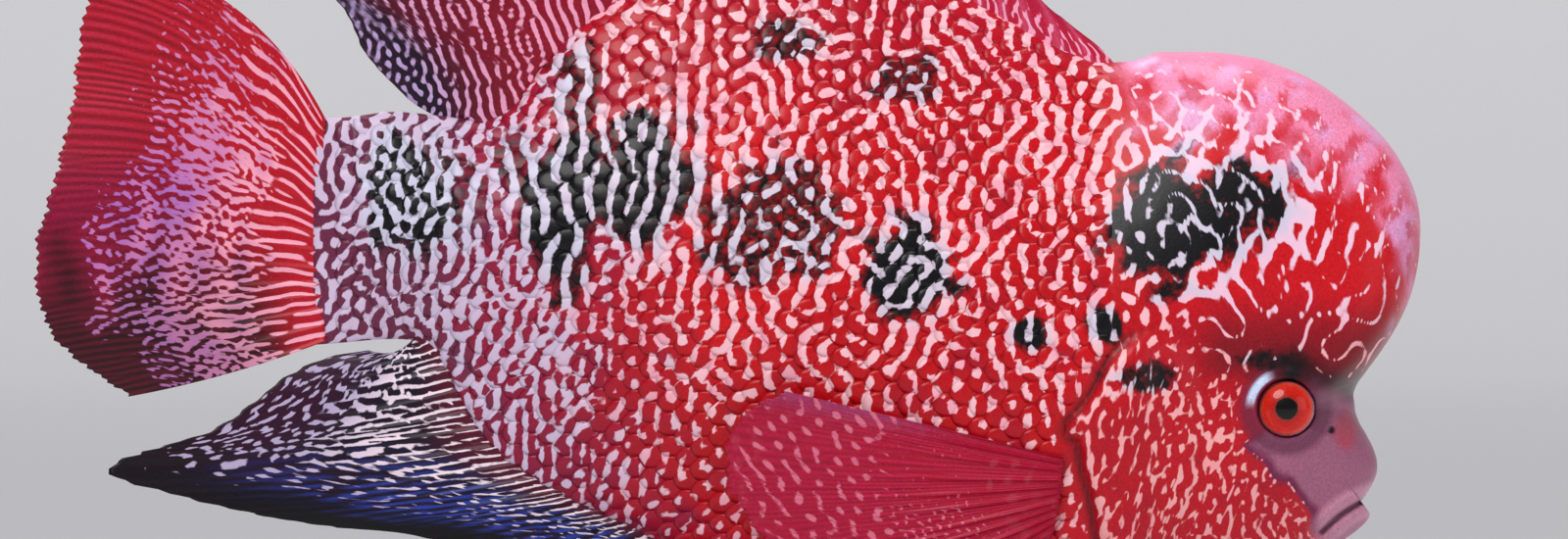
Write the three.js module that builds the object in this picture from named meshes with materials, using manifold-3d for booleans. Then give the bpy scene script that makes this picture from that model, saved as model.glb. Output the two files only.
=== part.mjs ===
// A flowerhorn cichlid at life size, held by a plain display stand.
// Millimetres, +Z up. The fish faces +X and its right side faces -Y.
// The origin is the centre of the underside of the stand's base.
import * as THREE from 'three';
import { mergeVertices } from 'three/addons/utils/BufferGeometryUtils.js';
import Module from 'manifold-3d';

const wasm = await Module();
wasm.setup();

// Gap kept between pieces that touch
const GAP = 0.3;

// Stand
const BASE_LENGTH = 160;
const BASE_WIDTH = 84;
const BASE_HEIGHT = 12;
const BASE_CORNER = 14;
const BASE_BEVEL = 1.5;
const ROD_RADIUS = 3;
const ROD_SUNK = 7;
const ROD_FRONT_X = 58;
const ROD_REAR_X = -4;

// Eye, which is also the pole of the head's shape
const EYE = { x: 93.8, z: 92.8 };
const EYE_RADIUS = 5.8;
const EYE_DEPTH = 3.4;
const EYE_OUT = 19.2;

// Rear end of the tail stalk, where the caudal fin starts
const STALK_END_X = -99;
const STALK_CUT_X = -79.5;

// Back, from the tail stalk to above the eye, as [x, z]
const BACK = [
  [-99, 152], [-88, 153.2], [-78, 152.4], [-70, 151.4], [-64, 154], [-58, 161.5], [-50, 170],
  [-40, 177], [-28, 182.5], [-12, 185.5], [6, 185], [22, 180.5], [37.8, 171.6], [49.6, 165.6],
  [57, 163.2], [63, 163.6], [69, 165.4], [78, 165.4], [88, 164.2], [EYE.x, 162.4],
];
// Belly, from the tail stalk to below the eye
const BELLY = [
  [-99, 106], [-88, 106.8], [-82, 106.4], [-78.6, 103.6], [-76, 98.5], [-71, 89], [-66, 83],
  [-56, 76.2], [-42.2, 69.8], [-20, 59.5], [2, 52], [22, 48], [42, 47], [56, 47.6], [72, 50.2],
  [85, 53.8], [EYE.x, 57],
];
// Hump, face and chin, from above the eye round the front to below it
const FACE = [
  [EYE.x, 162.4], [100.4, 159.4], [105.4, 156], [110.2, 152], [115, 147.2], [118.4, 142],
  [120.8, 136.6], [121.8, 131.2], [121.8, 126.4], [121.2, 121.2], [119.6, 115], [117.2, 109.8],
  [114, 104.6], [110.8, 100.2], [108.8, 97.4], [108.2, 95.2], [108.5, 92.6], [109.3, 90],
  [110.6, 87.2], [111.4, 84], [111.2, 79.5], [109.9, 75.4], [109.2, 72], [108.2, 68.6],
  [105.8, 65.4], [100, 60.6], [EYE.x, 57],
];
// Middle line of the flank, from the tail to the eye
const SPINE = [[-99, 130], [-80, 129], [-40, 122], [0, 113], [50, 101], [EYE.x, EYE.z]];

// Half width of the body on its middle line, as [x, half width]
const WIDTH_MIDDLE = [
  [-99, 3.4], [-90, 6.6], [-80, 9], [-60, 13.6], [-30, 20.4], [0, 24.6], [30, 26.2], [55, 26.2],
  [75, 24], [EYE.x, 21.2],
];
// Half width towards the back, before it rounds over
const WIDTH_BACK = [
  [-99, 2.6], [-85, 5], [-60, 7.5], [-30, 12], [0, 14.5], [30, 15], [50, 15], [65, 17.5],
  [80, 20], [EYE.x, 20.5],
];
// Half width towards the belly, before it rounds over
const WIDTH_BELLY = [
  [-99, 2.6], [-85, 5], [-60, 7], [-30, 13.5], [0, 20], [30, 23], [55, 22], [75, 18], [EYE.x, 15.5],
];
// How square the section is towards the back and the belly: 2 is an ellipse
const ROUND_BACK = [[-99, 2], [0, 2.1], [45, 2.2], [65, 3.2], [82, 4.4], [EYE.x, 4.6]];
const ROUND_BELLY = [[-99, 2], [-40, 2.1], [0, 2.8], [40, 3.2], [70, 3], [EYE.x, 2.8]];

// Half width and roundness round the face, by the angle from the eye in degrees
const WIDTH_FACE = [
  [-90, 15.5], [-60, 11.5], [-40, 11], [-20, 11.5], [5, 13], [25, 16.5], [50, 19.5], [90, 20.5],
];
const ROUND_FACE = [[-90, 2.8], [-60, 3], [-30, 3], [0, 2.8], [20, 3.4], [45, 4.6], [90, 4.6]];

// Facets of the body
const BODY_COLUMNS = 34;
const FACE_RAYS = 24;
const BODY_RINGS = 8;

// Joints between the named parts of the body, as [x, z] in side view
const HUMP_CUT = [
  [130, 90], [111.5, 99], [104, 104.5], [95, 110], [84, 119.5], [73, 134], [65, 149], [57, 172],
];
const NAPE_CUT = [
  [74, 160], [66, 145], [62, 128], [60.5, 112], [57.5, 97], [56.5, 82], [58.5, 66], [64, 52], [68, 38],
];

// Gill cover outline in side view, and how far it stands out and sinks in
const GILL_COVER = [
  [58, 102.5], [63, 107], [69.5, 107.5], [74.5, 102], [76.5, 90], [75.5, 78], [71.5, 66], [65.5, 58.5],
  [60, 58], [56.2, 65], [54.4, 74.6], [52.8, 80], [51.8, 85.4], [49.2, 89], [52.4, 92.8], [55, 96.6],
];
const GILL_RAISE = 1;
const GILL_SINK = 2.2;
const GILL_RINGS = 3;
const GILL_STEPS = 28;

// Lips: the right half of each lip's path, from the front to the corner of the mouth
const UPPER_LIP = [[110.4, 0, 77.2], [109.4, 4.4, 76.2], [106, 8.6, 73], [100.8, 11.4, 68.6]];
const LOWER_LIP = [[109.7, 0, 70.8], [108.6, 4.4, 70], [105, 8.4, 67.8], [100.2, 10.8, 65]];
const UPPER_LIP_RADIUS = 2.5;
const LOWER_LIP_RADIUS = 1.9;
const LIP_STEPS = 16;
const LIP_SIDES = 8;
const MOUTH_LINE = [[116, 76.3], [101.6, 67.4], [116, 73.1]];
const NOSTRIL = { x: 102.6, z: 88.2, radius: 0.9 };

// Fins: the root runs along the body, the edge is the free margin, both as [x, z]
const MEMBRANE = 0.28;
const CAUDAL = {
  root: [[-99, 151.4], [-99, 130], [-99, 106.6]],
  edge: [[-147, 186], [-151.5, 174], [-154, 156], [-156, 146], [-158.5, 136], [-161.2, 126], [-160.6, 115],
    [-156, 105], [-142, 95]],
  rays: 16, rows: 5, bow: [-7, 1], wave: 2.5, ray: 0.62,
};
const DORSAL_SOFT = {
  span: [-34, -72],
  edge: [[-40, 213], [-62, 213.5], [-88, 211], [-112, 205.5], [-134, 197], [-116, 187.5], [-99.5, 176],
    [-93.5, 165], [-85, 156]],
  rays: 13, rows: 5, bow: [-1.5, 1], wave: 3, ray: 0.6,
};
const DORSAL_SPINY = {
  span: [60, -33],
  edge: [[53, 169], [44, 176.6], [33, 187], [20, 197], [4, 204.5], [-16, 209.5], [-39, 212.8]],
  rays: 17, rows: 4, bow: [-0.5, -1.5], wave: 1, ray: 0.75,
};
const ANAL = {
  span: [-22, -83],
  edge: [[-27, 54.5], [-40, 53.5], [-56, 58], [-72, 63.5], [-86, 67], [-103.8, 68.8], [-125.2, 73],
    [-146.6, 80.2], [-126, 88], [-117.6, 93.4], [-110, 99.2], [-102, 103], [-93, 104.6]],
  rays: 17, rows: 5, bow: [0, 2], wave: 3, ray: 0.62,
};
const PECTORAL = {
  root: [[47.5, 82.5], [46.5, 75], [45.5, 67.5]],
  edge: [[-8, 96.5], [-17, 92], [-20.5, 84], [-19, 75], [-12.5, 66], [-1, 58.5], [12, 54.5], [24, 55]],
  rays: 12, rows: 5, bow: [0, 2], ray: 0.5, splay: 7,
};
const PELVIC = {
  x: [46.5, 33], side: 8, flesh: 1.5,
  edge: [[-17, 28.5], [-7, 33.5], [2, 37], [10, 40], [16, 43]],
  rays: 6, rows: 5, bow: [4, 1], ray: 0.6, splay: 9,
};

// Smooth curve value through rising or falling knots [t, value], without overshoot
function smooth(knots, t) {
  const sign = knots[knots.length - 1][0] > knots[0][0] ? 1 : -1;
  const n = knots.length;
  if ((t - knots[0][0]) * sign <= 0) return knots[0][1];
  if ((t - knots[n - 1][0]) * sign >= 0) return knots[n - 1][1];
  let i = 0;
  while ((t - knots[i + 1][0]) * sign > 0) i += 1;
  const rise = (k) => (knots[k + 1][1] - knots[k][1]) / (knots[k + 1][0] - knots[k][0]);
  const slope = (k) => {
    if (k === 0) return rise(0);
    if (k === n - 1) return rise(n - 2);
    const [a, b] = [rise(k - 1), rise(k)];
    return a * b <= 0 ? 0 : (2 * a * b) / (a + b);
  };
  const h = knots[i + 1][0] - knots[i][0];
  const u = (t - knots[i][0]) / h;
  const [v0, v1] = [knots[i][1], knots[i + 1][1]];
  return (
    v0 * (1 + 2 * u) * (1 - u) ** 2 + h * slope(i) * u * (1 - u) ** 2 +
    v1 * u * u * (3 - 2 * u) + h * slope(i + 1) * u * u * (u - 1)
  );
}

// Curve through [x, z] points, read by the share of its length
function pathOf(points) {
  const curve = new THREE.SplineCurve(points.map(([x, z]) => new THREE.Vector2(x, z)));
  curve.arcLengthDivisions = 400;
  return (u) => curve.getPointAt(Math.min(Math.max(u, 0), 1));
}

const DEG = 180 / Math.PI;
const blend = (a, b, u) => a + (b - a) * u;
const ease = (u) => u * u * (3 - 2 * u);

// The face's outline as [angle, distance] from the eye, angles falling from 90 to -90 degrees
const FACE_POLAR = FACE.map(([x, z]) => [
  Math.atan2(z - EYE.z, x - EYE.x) * DEG,
  Math.hypot(x - EYE.x, z - EYE.z),
]);

// Half width of the body at share v of the way from its middle to its outline
function section(middle, edge, power, v) {
  return blend(middle, edge, ease(v)) * Math.sqrt(Math.max(0, 1 - v ** power));
}

// Half width of the body at a point of its side view, 0 outside its outline
function halfWidth(x, z) {
  if (x > EYE.x) {
    const angle = Math.atan2(z - EYE.z, x - EYE.x) * DEG;
    const v = Math.hypot(x - EYE.x, z - EYE.z) / smooth(FACE_POLAR, angle);
    if (v >= 1) return 0;
    return section(smooth(WIDTH_MIDDLE, EYE.x), smooth(WIDTH_FACE, angle), smooth(ROUND_FACE, angle), v);
  }
  const middle = smooth(SPINE, x);
  const up = z >= middle;
  const v = (z - middle) / (smooth(up ? BACK : BELLY, x) - middle);
  if (v >= 1) return 0;
  const [edge, power] = up ? [WIDTH_BACK, ROUND_BACK] : [WIDTH_BELLY, ROUND_BELLY];
  return section(smooth(WIDTH_MIDDLE, x), smooth(edge, x), smooth(power, x), v);
}

// Closed surface from triangles of THREE.Vector3, with its shared corners merged
function closedGeometry(triangles) {
  const positions = triangles.flatMap((corners) => corners.flatMap((p) => [p.x, p.y, p.z]));
  let geometry = new THREE.BufferGeometry();
  geometry.setAttribute('position', new THREE.Float32BufferAttribute(positions, 3));
  geometry = mergeVertices(geometry, 1e-4);
  const index = geometry.getIndex().array;
  const place = geometry.getAttribute('position');
  const corner = (k) => new THREE.Vector3().fromBufferAttribute(place, k);
  const kept = [];
  let volume = 0;
  for (let i = 0; i < index.length; i += 3) {
    const [a, b, c] = [index[i], index[i + 1], index[i + 2]];
    if (a === b || b === c || c === a) continue;
    kept.push([a, b, c]);
    volume += corner(a).dot(corner(b).cross(corner(c)));
  }
  geometry.setIndex(kept.flatMap(([a, b, c]) => (volume > 0 ? [a, b, c] : [a, c, b])));
  return geometry;
}

// Two faces of a grid, half a thickness either side of its middle surface, closed by walls.
// A grid point is { at: middle point, out: half thickness as a vector }.
function slab(grid, walls = { rows: true, columns: true }) {
  const triangles = [];
  const near = (p) => p.at.clone().sub(p.out);
  const far = (p) => p.at.clone().add(p.out);
  const wall = (p, q) => {
    triangles.push([near(p), far(q), far(p)], [near(p), near(q), far(q)]);
  };
  const last = grid.length - 1;
  const end = grid[0].length - 1;
  for (let i = 0; i < last; i += 1) {
    for (let j = 0; j < end; j += 1) {
      const [a, b, c, d] = [grid[i][j], grid[i + 1][j], grid[i + 1][j + 1], grid[i][j + 1]];
      triangles.push([near(a), near(b), near(c)], [near(a), near(c), near(d)]);
      triangles.push([far(a), far(c), far(b)], [far(a), far(d), far(c)]);
    }
    if (walls.rows) wall(grid[i + 1][0], grid[i][0]);
    wall(grid[i][end], grid[i + 1][end]);
  }
  for (let j = 0; j < end; j += 1) {
    if (!walls.columns) break;
    wall(grid[0][j], grid[0][j + 1]);
    wall(grid[last][j + 1], grid[last][j]);
  }
  return closedGeometry(triangles);
}

// Solids for cutting and joining
function solidOf(geometry) {
  const bare = geometry.clone();
  bare.deleteAttribute('normal');
  bare.deleteAttribute('uv');
  const merged = mergeVertices(bare, 1e-4);
  return new wasm.Manifold(new wasm.Mesh({
    numProp: 3,
    vertProperties: new Float32Array(merged.getAttribute('position').array),
    triVerts: new Uint32Array(merged.getIndex().array),
  }));
}

function geometryOf(solid) {
  const mesh = solid.getMesh();
  const geometry = new THREE.BufferGeometry();
  geometry.setAttribute('position', new THREE.Float32BufferAttribute(mesh.vertProperties, 3));
  geometry.setIndex([...mesh.triVerts]);
  return geometry;
}

// The largest closed piece of a solid
function largest(solid) {
  return solid.decompose().reduce((best, piece) => (piece.volume() > best.volume() ? piece : best));
}

// A side-view outline made solid right through the fish
function throughFish(outline, reach = 70) {
  const shape = new THREE.Shape(outline.map(([x, z]) => new THREE.Vector2(x, z)));
  const geometry = new THREE.ExtrudeGeometry(shape, { depth: 2 * reach, bevelEnabled: false });
  geometry.rotateX(Math.PI / 2);
  geometry.translate(0, reach, 0);
  return solidOf(geometry);
}

// A thin cut through the fish along a side-view curve
function thinCut(points, steps) {
  const curve = new THREE.SplineCurve(points.map(([x, z]) => new THREE.Vector2(x, z)));
  const [one, other] = [[], []];
  for (let i = 0; i <= steps; i += 1) {
    const p = curve.getPointAt(i / steps);
    const t = curve.getTangentAt(i / steps);
    one.push([p.x - t.y * GAP / 2, p.y + t.x * GAP / 2]);
    other.unshift([p.x + t.y * GAP / 2, p.y - t.x * GAP / 2]);
  }
  return throughFish([...one, ...other]);
}

// The whole body: rays from the middle line to the outline, from the tail round the face and back
function wholeBody() {
  const rays = [];
  const ring = (j) => Math.sin((j / BODY_RINGS) * (Math.PI / 2));
  const rayTo = (inner, outer, width) => {
    const ray = [];
    for (let j = 0; j <= BODY_RINGS; j += 1) {
      const v = ring(j);
      const [x, z] = [blend(inner[0], outer[0], v), blend(inner[1], outer[1], v)];
      ray.push({ at: new THREE.Vector3(x, 0, z), out: new THREE.Vector3(0, width(v), 0) });
    }
    rays.push(ray);
  };
  const column = (i, outline, edge, power) => {
    const x = blend(STALK_END_X, EYE.x, i / BODY_COLUMNS);
    const middle = smooth(WIDTH_MIDDLE, x);
    const [side, round] = [smooth(edge, x), smooth(power, x)];
    rayTo([x, smooth(SPINE, x)], [x, smooth(outline, x)], (v) => section(middle, side, round, v));
  };
  for (let i = 0; i <= BODY_COLUMNS; i += 1) column(i, BACK, WIDTH_BACK, ROUND_BACK);
  const middle = smooth(WIDTH_MIDDLE, EYE.x);
  for (let i = 1; i < FACE_RAYS; i += 1) {
    const angle = 90 - (180 * i) / FACE_RAYS;
    const reach = smooth(FACE_POLAR, angle);
    const tip = [EYE.x + reach * Math.cos(angle / DEG), EYE.z + reach * Math.sin(angle / DEG)];
    const [side, round] = [smooth(WIDTH_FACE, angle), smooth(ROUND_FACE, angle)];
    rayTo([EYE.x, EYE.z], tip, (v) => section(middle, side, round, v));
  }
  for (let i = BODY_COLUMNS; i >= 0; i -= 1) column(i, BELLY, WIDTH_BELLY, ROUND_BELLY);
  return slab(rays, { rows: false, columns: true });
}

// A plate that follows the flank inside a side-view outline, on the left or right side
function flankPlate(outline, side, grow, sink, raise) {
  const shape = new THREE.SplineCurve([...outline, outline[0]].map(([x, z]) => new THREE.Vector2(x, z)));
  const mean = (k) => outline.reduce((sum, point) => sum + point[k], 0) / outline.length;
  const centre = [mean(0), mean(1)];
  const grid = [];
  for (let i = 0; i <= GILL_STEPS; i += 1) {
    const p = shape.getPointAt((i % GILL_STEPS) / GILL_STEPS);
    const reach = Math.hypot(p.x - centre[0], p.y - centre[1]);
    const row = [];
    for (let j = 0; j <= GILL_RINGS; j += 1) {
      const share = (j / GILL_RINGS) * (1 + grow / reach);
      const [x, z] = [blend(centre[0], p.x, share), blend(centre[1], p.y, share)];
      const skin = halfWidth(x, z);
      const lift = raise * (j === GILL_RINGS ? 0.55 : 1);
      const middle = skin + (lift - sink) / 2;
      row.push({ at: new THREE.Vector3(x, side * middle, z), out: new THREE.Vector3(0, (lift + sink) / 2, 0) });
    }
    grid.push(row);
  }
  return slab(grid, { rows: false, columns: false });
}

// A tapered round bar along a path that is mirrored left to right, its ends closed to points
function lip(half, radius, grow) {
  const points = [...half].reverse().map(([x, y, z]) => new THREE.Vector3(x, -y, z));
  half.slice(1).forEach(([x, y, z]) => points.push(new THREE.Vector3(x, y, z)));
  const curve = new THREE.CatmullRomCurve3(points);
  const [steps, sides] = [LIP_STEPS, LIP_SIDES];
  const frames = curve.computeFrenetFrames(steps, false);
  const rings = [];
  for (let i = 0; i <= steps; i += 1) {
    const u = i / steps;
    const centre = curve.getPointAt(u);
    const [forward, upward] = [new THREE.Vector3(), new THREE.Vector3(0, 0, 1)];
    forward.crossVectors(frames.tangents[i], upward).normalize();
    upward.crossVectors(forward, frames.tangents[i]).normalize();
    const end = i === 0 || i === steps;
    const size = (radius + grow) * (end ? 0 : blend(0.5, 1, Math.sin(Math.PI * u) ** 0.7));
    const ring = [];
    for (let k = 0; k < sides; k += 1) {
      const angle = (2 * Math.PI * k) / sides;
      ring.push(centre.clone()
        .addScaledVector(forward, 0.85 * size * Math.cos(angle))
        .addScaledVector(upward, size * Math.sin(angle)));
    }
    rings.push(ring);
  }
  const triangles = [];
  for (let i = 0; i < steps; i += 1) {
    for (let k = 0; k < sides; k += 1) {
      const next = (k + 1) % sides;
      const [a, b, c, d] = [rings[i][k], rings[i][next], rings[i + 1][next], rings[i + 1][k]];
      triangles.push([a, b, c], [a, c, d]);
    }
  }
  return closedGeometry(triangles);
}

// A flattened eyeball, its axis across the fish
function eyeball(side, grow) {
  const geometry = new THREE.SphereGeometry(1, 16, 10);
  geometry.scale(EYE_RADIUS + grow, EYE_DEPTH + grow, EYE_RADIUS + grow);
  geometry.translate(EYE.x, side * EYE_OUT, EYE.z);
  return solidOf(geometry);
}

// A fin between a root curve and an edge curve. Every other line of the grid is a ray, raised on
// both faces; place turns a side-view point into its middle point and the direction across.
function fin({ root, edge, rays, rows, bow, ray }, place, spiny = false) {
  const [rootAt, edgeAt] = [pathOf(root), pathOf(edge)];
  const lines = 2 * (rays - 1);
  const grid = [];
  for (let i = 0; i <= lines; i += 1) {
    const isRay = i % 2 === 0;
    const u = i / lines;
    const [from, to] = [rootAt(u), edgeAt(u)];
    const reach = isRay ? 1 : (spiny ? 0.93 : 0.985);
    const bend = new THREE.Vector2(-(to.y - from.y), to.x - from.x).normalize()
      .multiplyScalar(blend(bow[0], bow[1], u));
    const line = [];
    for (let j = 0; j <= rows; j += 1) {
      const w = (j / rows) * reach;
      const x = blend(from.x, to.x, w) + bend.x * 4 * w * (1 - w);
      const z = blend(from.y, to.y, w) + bend.y * 4 * w * (1 - w);
      const flesh = 0.5 * (1 - w) ** 4;
      const half = isRay ? blend(ray + 0.2, MEMBRANE + 0.1, w) : MEMBRANE;
      line.push(place(x, z, u, w, half + flesh));
    }
    grid.push(line);
  }
  return slab(grid);
}

// Places for a fin on the middle plane, which waves more towards its edge
function onMiddle(wave) {
  return (x, z, u, w, half) => ({
    at: new THREE.Vector3(x, wave * w * w * Math.sin(u * 2 * Math.PI + 0.6), z),
    out: new THREE.Vector3(0, half, 0),
  });
}

// The body's outline from one x to another, set off outwards, as a fin's root
function rootAlong(outline, [from, to], away) {
  const points = [];
  const steps = 12;
  for (let i = 0; i <= steps; i += 1) {
    const x = blend(from, to, i / steps);
    const slope = smooth(outline, x + 0.5) - smooth(outline, x - 0.5);
    const length = Math.hypot(1, slope);
    points.push([x - (away * slope) / length, smooth(outline, x) + away / length]);
  }
  return points;
}

// A fin whose root is sunk in the body, cut clear of it: the body is moved out by a little for that
function rootedFin(geometry, outX, outZ) {
  const raised = solidOf(bodyGeometry.clone().translate(outX, 0, outZ));
  return largest(solidOf(geometry).subtract(raised));
}

// Meshes
const fish = new THREE.Group();

function add(name, shape, color, roughness, metalness = 0) {
  const geometry = shape.isBufferGeometry ? shape : geometryOf(shape);
  const mesh = new THREE.Mesh(geometry, new THREE.MeshStandardMaterial({ color, roughness, metalness }));
  mesh.name = name;
  fish.add(mesh);
}

const RED = 0xc8142a;
const ROSE = 0xe06a8c;
const DUSKY = 0x8a4a66;
const DARK_FIN = 0x5a2a50;

// Body, parted by thin cuts
const bodyGeometry = wholeBody();
const body = solidOf(bodyGeometry);
const byFront = (solid) => solid.decompose()
  .sort((a, b) => b.volume() - a.volume())
  .slice(0, 2)
  .sort((a, b) => b.boundingBox().max[0] - a.boundingBox().max[0]);

const stalkCut = thinCut([[STALK_CUT_X, 190], [STALK_CUT_X - 1, 130], [STALK_CUT_X, 80]], 4);
const [front, stalk] = byFront(body.subtract(stalkCut));
const [rest, hump] = front.subtract(thinCut(HUMP_CUT, 12)).decompose()
  .sort((a, b) => b.volume() - a.volume());
const [headBlock, trunkBlock] = byFront(rest.subtract(thinCut(NAPE_CUT, 12)));

// Sockets and pockets
const sides = { left: 1, right: -1 };
let head = headBlock;
let trunk = trunkBlock;
for (const side of Object.values(sides)) {
  const pocket = solidOf(flankPlate(GILL_COVER, side, GAP, GILL_SINK + GAP, GILL_RAISE + 3));
  head = head.subtract(pocket).subtract(eyeball(side, GAP));
  trunk = trunk.subtract(pocket);
  const nostril = new THREE.SphereGeometry(NOSTRIL.radius, 6, 5);
  nostril.scale(1, 1.6, 1.3);
  nostril.translate(NOSTRIL.x, side * halfWidth(NOSTRIL.x, NOSTRIL.z), NOSTRIL.z);
  head = head.subtract(solidOf(nostril));
}
const mouth = throughFish(MOUTH_LINE, 13);
head = head.subtract(mouth);
head = head.subtract(solidOf(lip(UPPER_LIP, UPPER_LIP_RADIUS, GAP)));
head = head.subtract(solidOf(lip(LOWER_LIP, LOWER_LIP_RADIUS, GAP)));

add('head', largest(head), ROSE, 0.4);
add('nuchal_hump', largest(hump), 0xf09ac0, 0.38);
add('trunk', largest(trunk), RED, 0.4);
add('tail_stalk', largest(stalk), 0xb8506a, 0.42);
add('upper_lip', lip(UPPER_LIP, UPPER_LIP_RADIUS, 0), DUSKY, 0.4);
add('lower_lip', lip(LOWER_LIP, LOWER_LIP_RADIUS, 0), DUSKY, 0.4);
for (const [name, side] of Object.entries(sides)) {
  add(`gill_cover_${name}`, flankPlate(GILL_COVER, side, 0, GILL_SINK, GILL_RAISE), RED, 0.38);
  add(`eye_${name}`, eyeball(side, 0), 0xd03a18, 0.12);
}

// Fins on the middle plane
const FIN_GAP = 0.4;
const FIN_SUNK = 1;
const caudalRoot = CAUDAL.root.map(([x, z]) => [x - FIN_GAP, z]);
add('caudal_fin', fin({ ...CAUDAL, root: caudalRoot }, onMiddle(CAUDAL.wave)), RED, 0.45);
const spinyRoot = rootAlong(BACK, DORSAL_SPINY.span, -FIN_SUNK);
const spiny = fin({ ...DORSAL_SPINY, root: spinyRoot }, onMiddle(DORSAL_SPINY.wave), true);
add('dorsal_fin_spiny', rootedFin(spiny, 0.1, FIN_GAP), RED, 0.45);
const softRoot = rootAlong(BACK, DORSAL_SOFT.span, -FIN_SUNK);
const soft = fin({ ...DORSAL_SOFT, root: softRoot }, onMiddle(DORSAL_SOFT.wave));
add('dorsal_fin_soft', rootedFin(soft, -0.3, FIN_GAP), DARK_FIN, 0.45);
const analRoot = rootAlong(BELLY, ANAL.span, FIN_SUNK);
const anal = fin({ ...ANAL, root: analRoot }, onMiddle(ANAL.wave));
add('anal_fin', rootedFin(anal, -0.35, -0.35), DARK_FIN, 0.45);

// Paired fins
for (const [name, side] of Object.entries(sides)) {
  const pectoral = fin(PECTORAL, (x, z, u, w, half) => ({
    at: new THREE.Vector3(x, side * (halfWidth(x, z) + FIN_GAP + half + PECTORAL.splay * w ** 1.5), z),
    out: new THREE.Vector3(0, half, 0),
  }));
  add(`pectoral_fin_${name}`, pectoral, 0xd0284e, 0.4);

  // The root of a pelvic fin is just under the belly, where the belly reaches the fin's inner face
  const bellyAt = (x) => {
    let z = smooth(BELLY, x);
    while (halfWidth(x, z) < PELVIC.side - PELVIC.flesh) z += 0.05;
    return z;
  };
  const root = [0, 0.5, 1].map((u) => {
    const x = blend(PELVIC.x[0], PELVIC.x[1], u);
    return [x, bellyAt(x) - FIN_GAP];
  });
  const pelvic = fin({ ...PELVIC, root }, (x, z, u, w, half) => ({
    at: new THREE.Vector3(x, side * (PELVIC.side + PELVIC.splay * w), z),
    out: new THREE.Vector3(0, half, 0),
  }));
  add(`pelvic_fin_${name}`, pelvic, 0xc02044, 0.4);
}

// Stand: a rounded plate with sockets for two rods that reach up to the belly
function plate(length, width, corner, height, bevel) {
  const [x, y] = [length / 2 - bevel, width / 2 - bevel];
  const shape = new THREE.Shape();
  shape.moveTo(-x + corner, -y);
  shape.lineTo(x - corner, -y);
  shape.absarc(x - corner, -y + corner, corner, -Math.PI / 2, 0);
  shape.absarc(x - corner, y - corner, corner, 0, Math.PI / 2);
  shape.absarc(-x + corner, y - corner, corner, Math.PI / 2, Math.PI);
  shape.absarc(-x + corner, -y + corner, corner, Math.PI, 1.5 * Math.PI);
  const geometry = new THREE.ExtrudeGeometry(shape, {
    depth: height - 2 * bevel, bevelThickness: bevel, bevelSize: bevel, bevelSegments: 1, curveSegments: 5,
  });
  geometry.translate(0, 0, bevel);
  return solidOf(geometry);
}

function rod(x, grow) {
  const [bottom, top] = [BASE_HEIGHT - ROD_SUNK - grow, smooth(BELLY, x) + 6];
  const geometry = new THREE.CylinderGeometry(ROD_RADIUS + grow, ROD_RADIUS + grow, top - bottom, 16);
  geometry.rotateX(Math.PI / 2);
  geometry.translate(x, 0, (top + bottom) / 2);
  return solidOf(geometry);
}

const bodyLowered = solidOf(bodyGeometry.clone().translate(0, 0, -GAP - 0.05));
const rods = { front: ROD_FRONT_X, rear: ROD_REAR_X };
let base = plate(BASE_LENGTH, BASE_WIDTH, BASE_CORNER, BASE_HEIGHT, BASE_BEVEL);
for (const x of Object.values(rods)) base = base.subtract(rod(x, GAP));
add('stand_base', largest(base), 0x1a1b1e, 0.35);
for (const [name, x] of Object.entries(rods)) {
  add(`stand_rod_${name}`, largest(rod(x, 0).subtract(bodyLowered)), 0xb9bcc0, 0.3, 1);
}

export default fish;
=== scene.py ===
import math

import bpy
import numpy as np
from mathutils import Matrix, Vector


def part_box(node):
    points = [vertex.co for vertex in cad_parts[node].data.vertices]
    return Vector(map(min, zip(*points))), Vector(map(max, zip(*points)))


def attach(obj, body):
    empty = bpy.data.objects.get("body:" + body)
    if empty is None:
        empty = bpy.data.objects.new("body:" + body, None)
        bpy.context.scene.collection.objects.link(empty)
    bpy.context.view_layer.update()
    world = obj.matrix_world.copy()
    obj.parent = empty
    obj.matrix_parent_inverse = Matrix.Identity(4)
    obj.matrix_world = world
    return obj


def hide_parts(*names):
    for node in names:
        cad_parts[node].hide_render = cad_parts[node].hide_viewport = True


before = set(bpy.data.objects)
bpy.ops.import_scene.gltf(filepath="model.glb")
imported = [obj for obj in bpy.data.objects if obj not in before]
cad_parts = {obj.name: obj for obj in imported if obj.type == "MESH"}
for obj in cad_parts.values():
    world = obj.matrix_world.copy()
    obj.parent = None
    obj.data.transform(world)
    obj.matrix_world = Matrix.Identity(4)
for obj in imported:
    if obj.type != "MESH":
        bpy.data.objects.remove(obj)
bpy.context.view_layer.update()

# Shapes are worked out in millimetres, in the frame's own axes, and made in metres
MM = 0.001
# Where the skin ends at the tail fin
TAIL_X = -104

# The eye, which is also the pole of the head's shape
EYE_X, EYE_Z = 93.8, 92.8
EYE_RADIUS = 5.8
EYE_DEPTH = 3.4
EYE_OUT = 19.2

# Back and belly in side view, as (x, z), from the tail to above and below the eye
BACK = [
    (-104, 152.4), (-99, 152), (-88, 153.2), (-78, 152.4), (-70, 151.4), (-64, 154), (-58, 161.5),
    (-50, 170), (-40, 177), (-28, 182.5), (-12, 185.5), (6, 185), (22, 180.5), (37.8, 171.6),
    (49.6, 165.6), (57, 163.2), (63, 163.6), (69, 165.4), (78, 165.4), (88, 164.2), (EYE_X, 162.4),
]
BELLY = [
    (-104, 105.6), (-99, 106), (-88, 106.8), (-82, 106.4), (-78.6, 103.6), (-76, 98.5), (-71, 89),
    (-66, 83), (-56, 76.2), (-42.2, 69.8), (-20, 59.5), (2, 52), (22, 48), (42, 47), (56, 47.6),
    (72, 50.2), (85, 53.8), (EYE_X, 57),
]
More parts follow.
